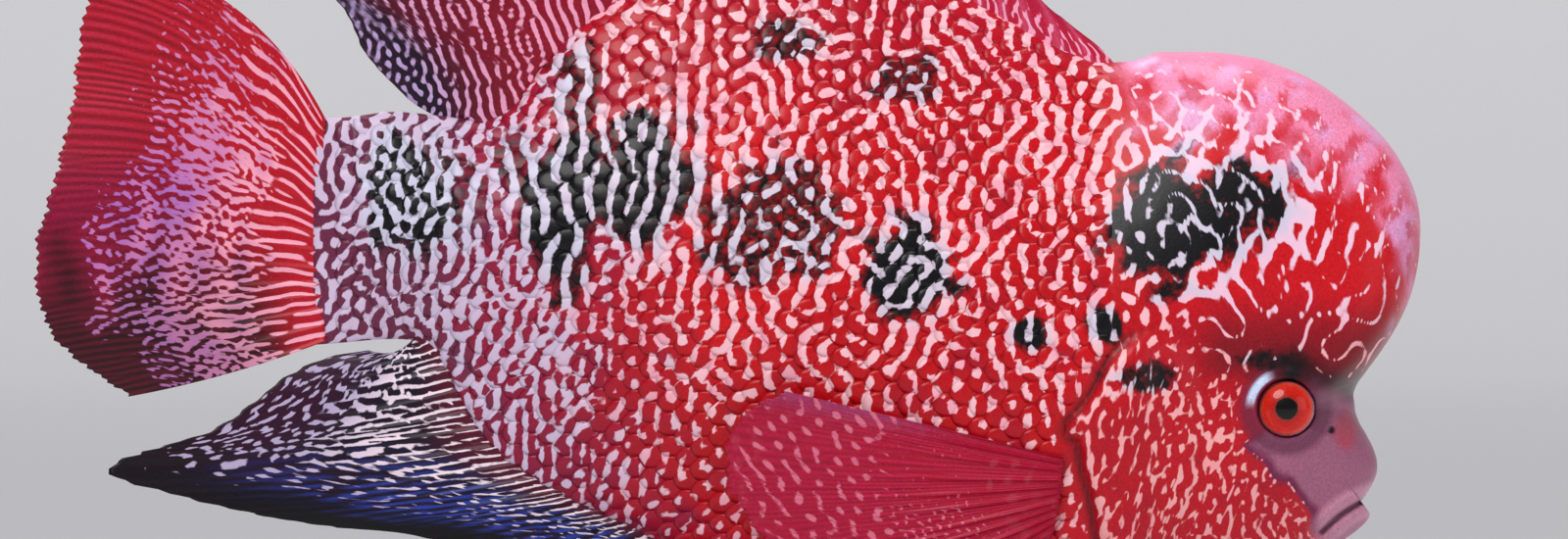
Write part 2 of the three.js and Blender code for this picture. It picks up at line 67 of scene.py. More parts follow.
# Hump, face, lips and chin, from above the eye round the front to below it
FACE = [
    (EYE_X, 162.4), (100.4, 159.4), (105.4, 156), (110.2, 152), (115, 147.2), (118.4, 142),
    (120.8, 136.6), (121.8, 131.2), (121.8, 126.4), (121.2, 121.2), (119.6, 115), (117.2, 109.8),
    (114, 104.6), (110.8, 100.2), (108.8, 97.4), (108.2, 95.2), (108.5, 92.6), (109.3, 90),
    (110.9, 87.2), (112.3, 84.4), (113, 82), (113, 79.8), (112.3, 77.6), (111.1, 75.6), (109.6, 73.8),
    (111.3, 72.6), (111.6, 71.2), (110.9, 69.6), (109, 67.8), (106, 65.6), (100, 60.6), (EYE_X, 57),
]
SPINE = [(-104, 130), (-99, 130), (-80, 129), (-40, 122), (0, 113), (50, 101), (EYE_X, EYE_Z)]

# Half width on the middle line, and towards the back and belly before it rounds over
WIDTH_MIDDLE = [
    (-104, 1.3), (-99, 3.2), (-90, 6.6), (-80, 9), (-60, 13.6), (-30, 20.4), (0, 24.6), (30, 26.2),
    (55, 26.2), (75, 24), (EYE_X, 21.2),
]
WIDTH_BACK = [
    (-104, 1.2), (-99, 2.6), (-85, 5), (-60, 7.5), (-30, 12), (0, 14.5), (30, 15), (50, 15),
    (65, 17.5), (80, 20), (EYE_X, 20.5),
]
WIDTH_BELLY = [
    (-104, 1.2), (-99, 2.6), (-85, 5), (-60, 7), (-30, 13.5), (0, 20), (30, 23), (55, 22), (75, 18),
    (EYE_X, 15.5),
]
# How square the section is: 2 is an ellipse
ROUND_BACK = [(-104, 2), (0, 2.1), (45, 2.2), (65, 3.2), (82, 4.4), (EYE_X, 4.6)]
ROUND_BELLY = [(-104, 2), (-40, 2.1), (0, 2.8), (40, 3.2), (70, 3), (EYE_X, 2.8)]
# The same round the face, by the angle from the eye in degrees
WIDTH_FACE = [
    (-90, 15.5), (-60, 11.5), (-40, 11), (-20, 11.5), (5, 13), (25, 16.5), (50, 19.5), (90, 20.5)]
ROUND_FACE = [(-90, 2.8), (-60, 3), (-30, 3), (0, 2.8), (20, 3.4), (45, 4.6), (90, 4.6)]

# Features of the head in side view
GILL_COVER = [
    (58, 102.5), (63, 107), (69.5, 107.5), (74.5, 102), (76.5, 90), (75.5, 78), (71.5, 66), (65.5, 58.5),
    (60, 58), (56.2, 65), (54.4, 74.6), (52.8, 80), (51.8, 85.4), (49.2, 89), (52.4, 92.8), (55, 96.6),
]
MOUTH_LINE = [(112.5, 74.4), (109.6, 73.6), (105.5, 71.2), (101.4, 67.6)]
NOSTRIL = (103.2, 88.4)

# Fins: root along the body, free edge, rays, and the bend of the first and last ray
CAUDAL = dict(
    root=[(-101.5, 151.6), (-103, 130), (-101.5, 106.4)],
    edge=[(-147, 186), (-151.5, 174), (-154, 156), (-156, 146), (-158.5, 136), (-161.2, 126),
          (-160.6, 115), (-156, 105), (-142, 95)],
    rays=16, bow=(-7, 1), wave=2.5, ray=0.34, splits=2)
DORSAL_SOFT = dict(
    span=(-34, -72), outline=BACK, sink=-1.2,
    edge=[(-40, 213), (-62, 213.5), (-88, 211), (-112, 205.5), (-134, 197), (-116, 187.5), (-99.5, 176),
          (-93.5, 165), (-85, 156)],
    rays=13, bow=(-1.5, 1), wave=3, ray=0.5, splits=2)
DORSAL_SPINY = dict(
    span=(60, -34.6), outline=BACK, sink=-1.2,
    edge=[(53, 169), (44, 176.6), (33, 187), (20, 197), (4, 204.5), (-16, 209.5), (-40.6, 212.9)],
    rays=17, bow=(-0.5, -1.5), wave=1, gain=2, ray=0.7, splits=0)
ANAL = dict(
    span=(-22, -83), outline=BELLY, sink=1.2,
    edge=[(-27, 54.5), (-40, 53.5), (-56, 58), (-72, 63.5), (-86, 67), (-103.8, 68.8), (-125.2, 73),
          (-146.6, 80.2), (-126, 88), (-117.6, 93.4), (-110, 99.2), (-102, 103), (-93, 104.6)],
    rays=17, bow=(0, 2), wave=3, ray=0.5, splits=1)
PECTORAL = dict(
    root=[(48.5, 83), (47.8, 75), (46.5, 67)],
    edge=[(-8, 96.5), (-17, 92), (-20.5, 84), (-19, 75), (-12.5, 66), (-1, 58.5), (12, 54.5), (24, 55)],
    rays=12, bow=(0, 2), wave=0, ray=0.35, splits=2)
PELVIC = dict(
    root_x=(46.5, 33), side=8, splay=9,
    edge=[(-17, 28.5), (-7, 33.5), (2, 37), (10, 40), (16, 43)],
    rays=6, bow=(4, 1), wave=0, ray=0.45, splits=2)

# Fineness of the skin
HEAD_START = 60
TRUNK_COLUMNS = 204
TRUNK_ROWS = 52
FACE_RAYS = 320
EYE_RINGS = [3, 4.6, 5.4, 5.8, 6.1, 6.4, 6.8, 7.3, 7.9, 8.6, 9.4, 10.2]
OUTER_RINGS = 46

# Scales: distance between rows and between scales of a row, and the size of one scale
SCALE_ROW = 3.5
SCALE_PITCH = 4.8
SCALE_LENGTH = 6.0
SCALE_WIDTH = 5.4
SCALE_THICK = 0.32
# Points along each side of a scale's grid, and where along it the scale's centre lies
SCALE_GRID = 6
SCALE_CENTRE = 0.42

# Points along each ray of a fin, and steps from one ray to the next
FIN_POINTS = 64
RAY_STEPS = 8


def smooth(knots, t):
    """Smooth curve value through knots (t, value), without overshoot."""
    k = np.array(knots, float)
    if k[0, 0] > k[-1, 0]:
        k = k[::-1]
    x, y = k[:, 0], k[:, 1]
    t = np.clip(t, x[0], x[-1])
    i = np.clip(np.searchsorted(x, t, side="right") - 1, 0, len(x) - 2)
    rise = np.diff(y) / np.diff(x)
    slope = np.concatenate([rise[:1], np.zeros(len(x) - 2), rise[-1:]])
    a, b = rise[:-1], rise[1:]
    alike = a * b > 0
    slope[1:-1] = np.where(alike, 2 * a * b / np.where(alike, a + b, 1), 0)
    h = np.diff(x)[i]
    u = (t - x[i]) / h
    return (y[i] * (1 + 2 * u) * (1 - u) ** 2 + h * slope[i] * u * (1 - u) ** 2
            + y[i + 1] * u * u * (3 - 2 * u) + h * slope[i + 1] * u * u * (u - 1))


def ease(a, b, t):
    """0 below a, 1 above b, smooth between."""
    u = np.clip((t - a) / (b - a), 0, 1)
    return u * u * (3 - 2 * u)


def catmull(points, count=600):
    """Dense smooth curve through points, and the share of its length at each of its points."""
    p = np.array(points, float)
    n = len(p) - 1
    t = np.linspace(0, n, count)
    i = np.minimum(t.astype(int), n - 1)
    u = (t - i)[:, None]
    p0, p1, p2, p3 = p[np.maximum(i - 1, 0)], p[i], p[i + 1], p[np.minimum(i + 2, n)]
    p0 = np.where((i == 0)[:, None], p1, p0)
    p3 = np.where((i == n - 1)[:, None], p2, p3)
    v0, v1 = (p2 - p0) / 2, (p3 - p1) / 2
    curve = ((2 * p1 - 2 * p2 + v0 + v1) * u ** 3 + (-3 * p1 + 3 * p2 - 2 * v0 - v1) * u ** 2
             + v0 * u + p1)
    length = np.concatenate([[0], np.cumsum(np.hypot(*np.diff(curve, axis=0).T))])
    return curve, length / length[-1]


def along(points, u):
    """Points of the curve at shares u of its length."""
    curve, share = catmull(points)
    return np.stack([np.interp(u, share, curve[:, 0]), np.interp(u, share, curve[:, 1])], -1)


FACE_POLAR = [(math.degrees(math.atan2(z - EYE_Z, x - EYE_X)), math.hypot(x - EYE_X, z - EYE_Z))
              for x, z in FACE]
# The same without the notch between the lips, for the width away from the outline
LIPLESS = [(angle, reach) for angle, reach in FACE_POLAR if not -58 < angle < -30]


def face_reach(angle, r):
    """Reach of the face's outline, where the notch of the mouth fades out inwards."""
    plain = smooth(LIPLESS, angle)
    return plain + (smooth(FACE_POLAR, angle) - plain) * ease(0.72, 0.96, r / plain)


def section(middle, edge, power, v):
    """Half width at share v of the way from the middle to the outline."""
    return (middle + (edge - middle) * v * v * (3 - 2 * v)) * np.sqrt(np.clip(1 - v ** power, 0, 1))


def shares(x, z):
    """For points in side view: share of the way to the outline, and middle, edge and power there."""
    angle = np.degrees(np.arctan2(z - EYE_Z, np.maximum(x - EYE_X, 1e-6)))
    middle_z = smooth(SPINE, x)
    up = z >= middle_z
    outline = np.where(up, smooth(BACK, x), smooth(BELLY, x))
    in_face = x > EYE_X
    r = np.hypot(x - EYE_X, z - EYE_Z)
    v = np.where(in_face, r / face_reach(angle, r), (z - middle_z) / (outline - middle_z))
    middle = smooth(WIDTH_MIDDLE, x)
    edge = np.where(in_face, smooth(WIDTH_FACE, angle),
                    np.where(up, smooth(WIDTH_BACK, x), smooth(WIDTH_BELLY, x)))
    power = np.where(in_face, smooth(ROUND_FACE, angle),
                     np.where(up, smooth(ROUND_BACK, x), smooth(ROUND_BELLY, x)))
    return np.clip(v, 0, 1), middle, edge, power


def half_width(x, z):
    v, middle, edge, power = shares(x, z)
    return section(middle, edge, power, v)


def bell(t, middle, width):
    """1 at the middle and falling off on both sides."""
    return np.exp(-((t - middle) / width) ** 2)


def distance_to(points, x, z, closed=False):
    """Distance to a polyline and, when it is closed, negative inside it."""
    curve = catmull(list(points) + ([points[0]] if closed else []), 160)[0]
    best = np.full(np.shape(x), 1e9)
    inside = np.zeros(np.shape(x), bool)
    for (ax, az), (bx, bz) in zip(curve[:-1], curve[1:]):
        dx, dz = bx - ax, bz - az
        t = np.clip(((x - ax) * dx + (z - az) * dz) / (dx * dx + dz * dz + 1e-12), 0, 1)
        best = np.minimum(best, np.hypot(x - ax - t * dx, z - az - t * dz))
        crosses = (az > z) != (bz > z)
        if closed and abs(dz) > 1e-9:
            inside ^= crosses & (x < ax + (z - az) * dx / dz)
    return np.where(inside, -best, best)


# Unwrap of the skin: each side is rolled out flat, so that patterns and rows of scales keep
# their size where the body turns over. Tables hold the length along the skin from its middle.
ARC_X = np.linspace(TAIL_X, EYE_X, 240)
ARC_ANGLE = np.linspace(-90, 90, 181)
ARC_V = np.sin(np.linspace(0, math.pi / 2, 90))


def arc_table(reach, middle, edge, power):
    """Length along the skin at each share ARC_V, for arrays of reach and section values."""
    y = section(middle[:, None], edge[:, None], power[:, None], ARC_V[None, :])
    r = reach[:, None] * ARC_V[None, :]
    step = np.hypot(np.diff(r, axis=1), np.diff(y, axis=1))
    return np.concatenate([np.zeros((len(reach), 1)), np.cumsum(step, axis=1)], axis=1)


def column_table(outline, width, power):
    reach = np.abs(smooth(outline, ARC_X) - smooth(SPINE, ARC_X))
    return arc_table(reach, smooth(WIDTH_MIDDLE, ARC_X), smooth(width, ARC_X), smooth(power, ARC_X))


ARC_UP = column_table(BACK, WIDTH_BACK, ROUND_BACK)
ARC_DOWN = column_table(BELLY, WIDTH_BELLY, ROUND_BELLY)
ARC_FACE = arc_table(smooth(FACE_POLAR, ARC_ANGLE), np.full(len(ARC_ANGLE), smooth(WIDTH_MIDDLE, EYE_X)),
                     smooth(WIDTH_FACE, ARC_ANGLE), smooth(ROUND_FACE, ARC_ANGLE))


def between(table, i, j):
    """Value of a table between its rows at i and its columns at j."""
    i, j = np.clip(i, 0, table.shape[0] - 1.001), np.clip(j, 0, table.shape[1] - 1.001)
    i0, j0 = i.astype(int), j.astype(int)
    a, b = i - i0, j - j0
    return ((1 - a) * ((1 - b) * table[i0, j0] + b * table[i0, j0 + 1])
            + a * ((1 - b) * table[i0 + 1, j0] + b * table[i0 + 1, j0 + 1]))


def table_value(table, axis, t, v):
    """Value of an arc table at places t along its rows and shares v along its columns."""
    column = np.arcsin(np.clip(v, 0, 1)) / (math.pi / 2) * (len(ARC_V) - 1)
    return between(table, (t - axis[0]) / (axis[1] - axis[0]), column)


def arc(x, v, up):
    """Length along the skin from its middle line, up or down, to a share of the way."""
    return np.where(up, table_value(ARC_UP, ARC_X, x, v), table_value(ARC_DOWN, ARC_X, x, v))


def unwrap(x, z):
    """Place in the flat unwrap of a point in side view."""
    v = shares(x, z)[0]
    middle_z = smooth(SPINE, x)
    up = z >= middle_z
    length = np.where(up, 1, -1) * arc(x, v, up)
    angle = np.arctan2(z - EYE_Z, np.maximum(x - EYE_X, 1e-6))
    radius = table_value(ARC_FACE, ARC_ANGLE, np.degrees(angle), v)
    in_face = x > EYE_X
    return (np.where(in_face, EYE_X + radius * np.cos(angle), x),
            np.where(in_face, EYE_Z + radius * np.sin(angle), middle_z + length))


def rewrap(x, flat_z):
    """Side-view height of a place in the unwrap, behind the eye."""
    middle_z = smooth(SPINE, x)
    length = np.abs(flat_z - middle_z)
    up = flat_z >= middle_z
    low, high = np.zeros(np.shape(x)), np.ones(np.shape(x))
    for _ in range(16):
        v = (low + high) / 2
        short = arc(x, v, up) < length
        low, high = np.where(short, v, low), np.where(short, high, v)
    outline = np.where(up, smooth(BACK, x), smooth(BELLY, x))
    return middle_z + (outline - middle_z) * (low + high) / 2


# Patterns: fields on a flat grid over the unwrap, made from seeded noise
CELL = 0.4
FIELD_X, FIELD_Z = -180, -10
GRID = (640, 840)
KZ = np.fft.fftfreq(GRID[0], CELL)[:, None]
KX = np.fft.rfftfreq(GRID[1], CELL)[None, :]


def clouds(seed, size):
    """Soft noise of about unit spread whose forms are about size millimetres."""
    u = np.random.default_rng(seed).normal(size=GRID)
    keep = np.exp(-(np.hypot(KX, KZ) * size) ** 2)
    u = np.fft.irfft2(np.fft.rfft2(u) * keep, s=GRID)
    return u / u.std()


def labyrinth(seed, spacing, bias, upright=0.0, steps=6, sharp=0.5):
    """Winding marks at about one spacing, as fish skin grows them: positive on the marks."""
    u = np.random.default_rng(seed).normal(size=GRID)
    k = np.hypot(KX, KZ) + 1e-9
    ring = np.exp(-((k * spacing - 1) / sharp) ** 2)
    ring = ring * (1 - upright + upright * (KX / k) ** 2)
    for _ in range(steps):
        band = np.fft.irfft2(np.fft.rfft2(u) * ring, s=GRID)
        band /= band.std()
        u = np.tanh(1.7 * (band + bias))
    return band + bias


def sample(field, x, z, other=0):
    """Field value at unwrap places, where other is the share of a second region of the field."""
    if np.any(other):
        return (1 - other) * sample(field, x, z) + 1.15 * other * sample(field, x + 9.3, z + 41.7)
    return between(field, (z - FIELD_Z) / CELL, (x - FIELD_X) / CELL)


def threads(field, share):
    """Thin lines along the borders of a labyrinth, which cover the given share of it."""
    reach = np.abs(field)
    width = np.quantile(reach, share)
    return 0.8 * (width - reach) / width


CLOUD_WIDE = clouds(11, 30)
CLOUD_FINE = clouds(12, 7)
BROKEN = clouds(13, 1.9)
FLANK = labyrinth(21, 3.7, -0.2 + 0.14 * CLOUD_WIDE, upright=0.15, steps=8) + 0.45 * BROKEN - 0.17
REAR = labyrinth(22, 3.0, 0.05 + 0.1 * CLOUD_WIDE, upright=0.2) + 0.5 * BROKEN - 0.12
STRIPES = labyrinth(28, 4.2, 0.0, upright=0.92) + 0.3 * BROKEN - 0.15
CHEEK = labyrinth(23, 2.6, -0.42 + 0.15 * CLOUD_WIDE, upright=0.25, sharp=0.6) + 0.35 * BROKEN - 0.1
LINES = threads(labyrinth(31, 5.4, 0.0, upright=0.35, steps=4, sharp=0.6), 0.19)
ISLANDS = labyrinth(29, 8.0, 0.0, steps=3, sharp=0.8) + 0.35 * BROKEN
CELLS = threads(labyrinth(32, 9.0, 0.0, steps=4, sharp=0.6), 0.17)
STROKES = labyrinth(30, 5.2, -0.3, upright=0.6, steps=4, sharp=0.6) + 0.3 * BROKEN
STREAKS = labyrinth(25, 2.7, -0.05 + 0.1 * CLOUD_FINE, upright=0.93)
DOTS = labyrinth(26, 2.6, -0.35 + 0.05 * CLOUD_FINE, upright=0.25)


def srgb(code):
    """Linear colour of an sRGB hex code."""
    parts = np.array([int(code[i:i + 2], 16) / 255 for i in (1, 3, 5)])
    return np.where(parts <= 0.04045, parts / 12.92, ((parts + 0.055) / 1.055) ** 2.4)


def colour(code):
    """The same with full alpha, as the inputs of nodes take it."""
    return (*srgb(code), 1.0)


def mix(a, b, share):
    """a moved towards b by a share."""
    return a + share * (b - a)


def tint(shape, code, *layers):
    """A colour at each point: the first code, then each layer's code over it by its share."""
    base = np.broadcast_to(srgb(code), shape + (3,))
    for share, over in layers:
        base = mix(base, srgb(over), np.asarray(share)[..., None])
    return base


# Dark blotches of the flank and head in side view: x, z, half sizes, strength, darkest value
BLOTCHES = [
    (-85, 137, 10, 13, 1.05, 0.6), (-53, 134, 8, 14, 1.1, 1), (-37, 138, 11, 16, 1.05, 0.3),
    (-10, 131, 15, 12, 1.05, 0.13), (17, 121, 9.5, 9, 1.1, 1), (42, 108, 4, 3.6, 1.0, 1),
    (56.5, 109.5, 4, 4.2, 1.0, 1), (65, 99, 9, 3.5, 0.95, 0.2), (71, 130, 12, 11, 1.15, 1),
    (83, 135, 13, 8, 1.05, 0.3), (-7, 168, 9, 6, 0.9, 0.15), (18, 160, 8, 7, 0.9, 0.1),
    (-50, 158, 6, 10, 0.95, 0.1), (66, 139, 5, 5, 0.9, 0.3), (-62, 142, 6, 10, 0.8, 0.05),
    (-73, 133, 6, 11, 0.8, 0.0), (92, 103, 8, 2.5, 0.9, 0.12),
]


def blotches(x, z, rough):
    """Strength of the dark blotches, with ragged edges."""
    ink = np.full(np.shape(x), -1.0)
    for cx, cz, rx, rz, strength, darkest in BLOTCHES:
        d = np.hypot((x - cx) / rx, (z - cz) / rz)
        ink = np.maximum(ink, np.minimum(strength * 1.25 - d + 0.16 * rough - 0.3, darkest))
    return ink


def skin_paint(x, z, side):
    """Ground colour, colour of the marks, mark field and blotch field of the skin in side view."""
    fx, fz = unwrap(x, z)
    edge = shares(x, z)[0]
    # The left side has its own marks, which turn into the right side's at the outline
    other = ease(0.97, 0.82, edge) if side > 0 else np.zeros(x.shape)
    at = lambda field: sample(field, fx, fz, other)
    wide, fine, broken = sample(CLOUD_WIDE, fx, fz), at(CLOUD_FINE), at(BROKEN)
    ink = blotches(x + 2.5 * other * wide, z + 1.5 * other, fine)

    # Regions, each a share from 0 to 1
    rear = ease(-25, -66, x + 0.25 * (z - 110) + 5 * fine)
    low = ease(80, 55, z)
    face = ease(46, 62, x - 0.25 * (z - 100) + 3 * fine) * ease(124, 104, z - 0.35 * (x - 80))
    crown = ease(50, 70, x + 0.4 * (z - 150) + 2 * fine) * ease(57, 68, x)
    crown = crown * ease(100, 114, z - 0.1 * (x - 90))
    top = ease(140, 178, z) * (1 - crown)
    brow = ease(72, 82, x) * ease(97, 102, z) * ease(124, 114, z)
    # Painted shade in the fold under the brow, above the snout, where the hump overhangs
    under_brow_shade = ease(93, 97.5, z + 0.35 * (x - 105)) * ease(104, 99, z) * ease(96, 99, x)
    beside = ease(36, 14, np.hypot(x - 75, z - 136)) * crown
    striped = ease(-0.45, 0.1, ink) * ease(-5, -30, x) * ease(-80, -70, x)
    border = ease(-0.4, -0.15, ink) * ease(0.1, -0.1, ink)

    # Pink of the hump: its upper front and its rim, with islands of the ground left in it. On the upper
    # front the pink is partly the hump's own colour and partly painted light from above
    upper = ease(137, 156, z + 0.45 * (x - 90) + 4 * fine) * crown
    rim = ease(0.72, 1.0, edge + 0.05 * fine) * crown
    islands = ease(0.35, 0.75, at(ISLANDS)) * ease(1.0, 0.9, edge)
    pink = np.clip(0.95 * upper + rim * (0.85 + 0.2 * fine), 0, 1) * (1 - 0.75 * islands)

    # Grey muzzle, by the distance in front of its border
    muzzle = x + 0.8 * fine - np.interp(z, [60, 71.2, 85.9, 92.8, 100], [109, 99.8, 86.5, 96, 99])
    snout = ease(-1.2, 2.6, muzzle) * ease(101.5, 95, z + 0.8 * fine)
    pale_line = bell(muzzle, -0.9, 0.5) * ease(89, 86, z) * ease(70, 76, z)

    # Round the eye: painted shade above it, where the brow overhangs, and a pale blue crescent above and
    # behind that is a painted highlight
    r_eye = np.hypot(x - EYE_X, z - EYE_Z)
    angle = np.degrees(np.arctan2(z - EYE_Z, x - EYE_X))
    # Painted shade above the eye, under the brow
    above = bell(angle, 80, 48) * ease(14, 9, r_eye)
    # Painted highlight: the pale blue crescent above and behind the eye
    crescent_highlight = np.exp(-((angle - 145) / 30) ** 6) * ease(1.15, 0.75, np.abs(r_eye - 7.5))
    near_eye = ease(10.5, 8.5, r_eye)

    # Gill cover: painted shade in the groove behind its rear edge, and broken pale marks along the edge
    cover = distance_to(GILL_COVER, x, z, closed=True)
    behind = ease(66, 60, x)
    groove_shade = behind * bell(cover, 0.7, 0.8)

    mouth = distance_to(MOUTH_LINE, x, z)
    nose_spot = np.hypot(x - 106.2, (z - 88) / 1.6)
    nostril = np.hypot(x - NOSTRIL[0], z - NOSTRIL[1])

    ground = tint(
        x.shape, "#BE0414", (0.5 * ease(-0.5, 1.5, wide), "#DC0C18"),
        (0.45 * ease(0.3, 1.6, fine), "#9C0A26"), (0.5 * top, "#A80A2C"), (0.35 * low, "#C2103A"),
        (0.8 * rear, "#7E1640"), (0.75 * ease(-66, -84, x + 4 * fine), "#5A2A48"),
        # The hump's pink: its own colour, and on its upper front partly painted light from above
        (0.45 * face, "#B01028"), (0.6 * crown, "#D80C1A"), (pink, "#F08AB0"),
        (0.7 * pink * ease(0.2, 1.4, fine), "#E2A6D8"),
        (0.45 * pink * ease(114, 124, x) * ease(130, 112, z), "#B04A86"), (0.92 * snout, "#A46684"),
        # Painted shade under the brow
        (0.95 * under_brow_shade, "#2E0816"),
        (0.8 * ease(2.5, 0.0, muzzle) * ease(-2.0, 0.0, muzzle) * ease(90, 84, z), "#4C1A4E"),
        (0.45 * ease(3.4, 1.2, nose_spot), "#D02430"), (0.35 * crown * ease(118, 106, z), "#8C0C24"),
        # Painted shade above the eye, then the painted highlight of the crescent
        (0.75 * brow * ease(118, 104, z), "#6A0A1A"), (above, "#0A0308"), (crescent_highlight, "#CAD8F6"),
        # This line ends with the painted shade in the groove behind the gill cover
        (0.7 * near_eye * (1 - crescent_highlight) * (1 - above), "#5C2040"), (0.8 * groove_shade, "#3C0410"),
        (0.85 * ease(4.2, 2.6, mouth) * ease(97, 103, x), "#C88AA2"),
        (0.75 * ease(0.75, 0.2, mouth) * ease(99, 102, x), "#3C1428"),
        (ease(1.1, 0.5, nostril), "#24101C"))
    marking = tint(
        x.shape, "#FBC0CA", (0.55 * ease(-0.2, 1.4, fine), "#F490AA"), (0.85 * rear, "#C9BCDA"),
        (0.5 * low, "#EC86A4"), (0.55 * face, "#F2988E"), (0.7 * crown, "#F2D0EA"),
        (0.75 * ease(-0.25, 0.15, ink), "#C9CCE0"))

    # Marks: worms on the flank, stripes over its blotches, a net on the cheek and on the hump
    cheek = np.maximum(at(CHEEK) - 0.75, np.maximum(at(LINES), -1.2) + 0.35 * broken)
    cells = np.maximum(at(CELLS), -1.2) + 0.2 * broken
    strokes = sample(STROKES, fx - 0.4 * fz, fz, other) - 1.1 + 0.4 * beside
    hump = np.maximum(cells - 0.1 + 0.45 * beside + 0.15 * wide, strokes)
    mark = at(FLANK)
    for field, share in ((at(REAR), rear), (cheek, face), (at(STRIPES), striped), (hump, crown),
                         (cells, brow)):
        mark = mix(mark, field, share)
    mark = mark - 3 * ease(0.3, 0.8, snout) - 1.1 * pink * (1 - beside)
    mark = mark - 1.4 * ease(-2.8, -1.6, muzzle) * ease(92, 88, z) + 2.6 * pale_line
    mark = mark + border * (0.3 + 0.65 * crown) - 0.2 * ease(0.0, 0.3, ink) - 3 * near_eye
    mark = mark - 2 * groove_shade + behind * bell(cover, -1.7, 1.0) * (1.1 + 0.5 * fine)
    return ground, marking, mark, ink


def relief(x, z):
    """Raised and sunk forms of the skin, in millimetres outwards."""
    r_eye = np.hypot(x - EYE_X, z - EYE_Z)
    cover = distance_to(GILL_COVER, x, z, closed=True)
    behind = ease(70, 62, x)
    lift = 1.7 * ease(0.3, -1.3, cover) * behind + 0.9 * ease(1.5, -4, cover) * (1 - behind)
    lift -= 0.8 * bell(cover, 0.6, 0.6) * behind
    lift += 0.55 * bell(r_eye, 7.0, 1.1)
    lift -= 6.0 * ease(6.05, 5.4, r_eye)
    mouth = distance_to(MOUTH_LINE, x, z)
    at_mouth = ease(98.5, 102, x)
    lift += at_mouth * (0.9 * bell(mouth, 2.0, 1.3) - 1.5 * bell(mouth, 0, 0.6))
    nostril = np.hypot(x - NOSTRIL[0], (z - NOSTRIL[1]) / 1.25)
    lift += 0.25 * bell(nostril, 1.3, 0.4) - 1.0 * bell(nostril, 0, 0.7)
    lift -= 0.25 * bell(distance_to([(97.5, 90), (101, 89), (104.5, 86.5)], x, z), 0, 0.6)
    # The cheek swells a little between the eye and the gill cover
    lift += 0.8 * np.exp(-((x - 83) / 7) ** 2 - ((z - 76) / 12) ** 2)
    return lift


def skin_y(x, z):
    """Half width of the finished skin, which still meets the other side at the outline."""
    base = half_width(x, z)
    return np.maximum(base - 0.1 + relief(x, z) * ease(0, 5, base), 0)


# Millimetres of the unwrap over the whole bake map, and the unwrap's place at its corner
MAP_SIZE, MAP_X, MAP_Z = 520, -112, 5


def uv_place(x, z, side):
    """Place on the bake map: each side of the unwrap in its own half."""
    fx, fz = unwrap(x, z)
    half = 0.5 if side > 0 else 0.0
    return np.stack([(fx - MAP_X) / MAP_SIZE + 0.01, (fz - MAP_Z) / MAP_SIZE + half], -1)


def make_mesh(name, points, faces, uv=None, paint=()):
    """Smooth mesh from points in millimetres. The map places are for its points or its corners."""
    mesh = bpy.data.meshes.new(name)
    mesh.from_pydata((np.asarray(points) * MM).tolist(), [], [list(map(int, f)) for f in faces])
    mesh.shade_smooth()
    if uv is not None:
        if len(uv) == len(points):
            corner = np.empty(len(mesh.loops), int)
            mesh.loops.foreach_get("vertex_index", corner)
            uv = uv[corner]
        mesh.uv_layers.new(name="OFBake").data.foreach_set("uv", uv.astype(np.float32).ravel())
    for key, value in zip(("ground", "marking", "mark", "ink"), paint):
        value = value.reshape(len(points), -1)
        kind, word = "FLOAT", "value"
        if value.shape[1] == 3:
            value = np.concatenate([np.clip(value, 0, 1), np.ones((len(points), 1))], 1)
            kind, word = "FLOAT_COLOR", "color"
        attribute = mesh.attributes.new(key, kind, "POINT")
        attribute.data.foreach_set(word, value.astype(np.float32).ravel())
    piece = bpy.data.objects.new(name, mesh)
    bpy.context.scene.collection.objects.link(piece)
    return piece


def grid_faces(rows, columns, start=0, flip=False):
    """Four-sided faces of a grid of points stored row by row."""
    i, j = np.mgrid[0:rows - 1, 0:columns - 1]
    a = (start + i * columns + j).ravel()
    quads = np.stack([a, a + columns, a + columns + 1, a + 1], 1)
    return quads[:, ::-1] if flip else quads


def grid_border(rows, columns):
    """Points round the border of such a grid, each with the next one."""
    border = [(0, j) for j in range(columns)] + [(i, columns - 1) for i in range(1, rows)]
    border += [(rows - 1, j) for j in range(columns - 2, -1, -1)]
    border += [(i, 0) for i in range(rows - 2, 0, -1)]
    ids = [i * columns + j for i, j in border]
    return list(zip(ids, ids[1:] + ids[:1]))


def ring_faces(rings, around):
    """Faces between closed rings of points stored one after the other."""
    faces = []
    for i in range(0, (rings - 1) * around, around):
        for j in range(around):
            k = (j + 1) % around
            faces.append([i + j, i + k, i + around + k, i + around + j])
    return faces


def capped_faces(rings, around):
    """The same with a flat face on the first and the last ring."""
    last = (rings - 1) * around
    return ring_faces(rings, around) + [list(range(around))[::-1], list(range(last, last + around))]


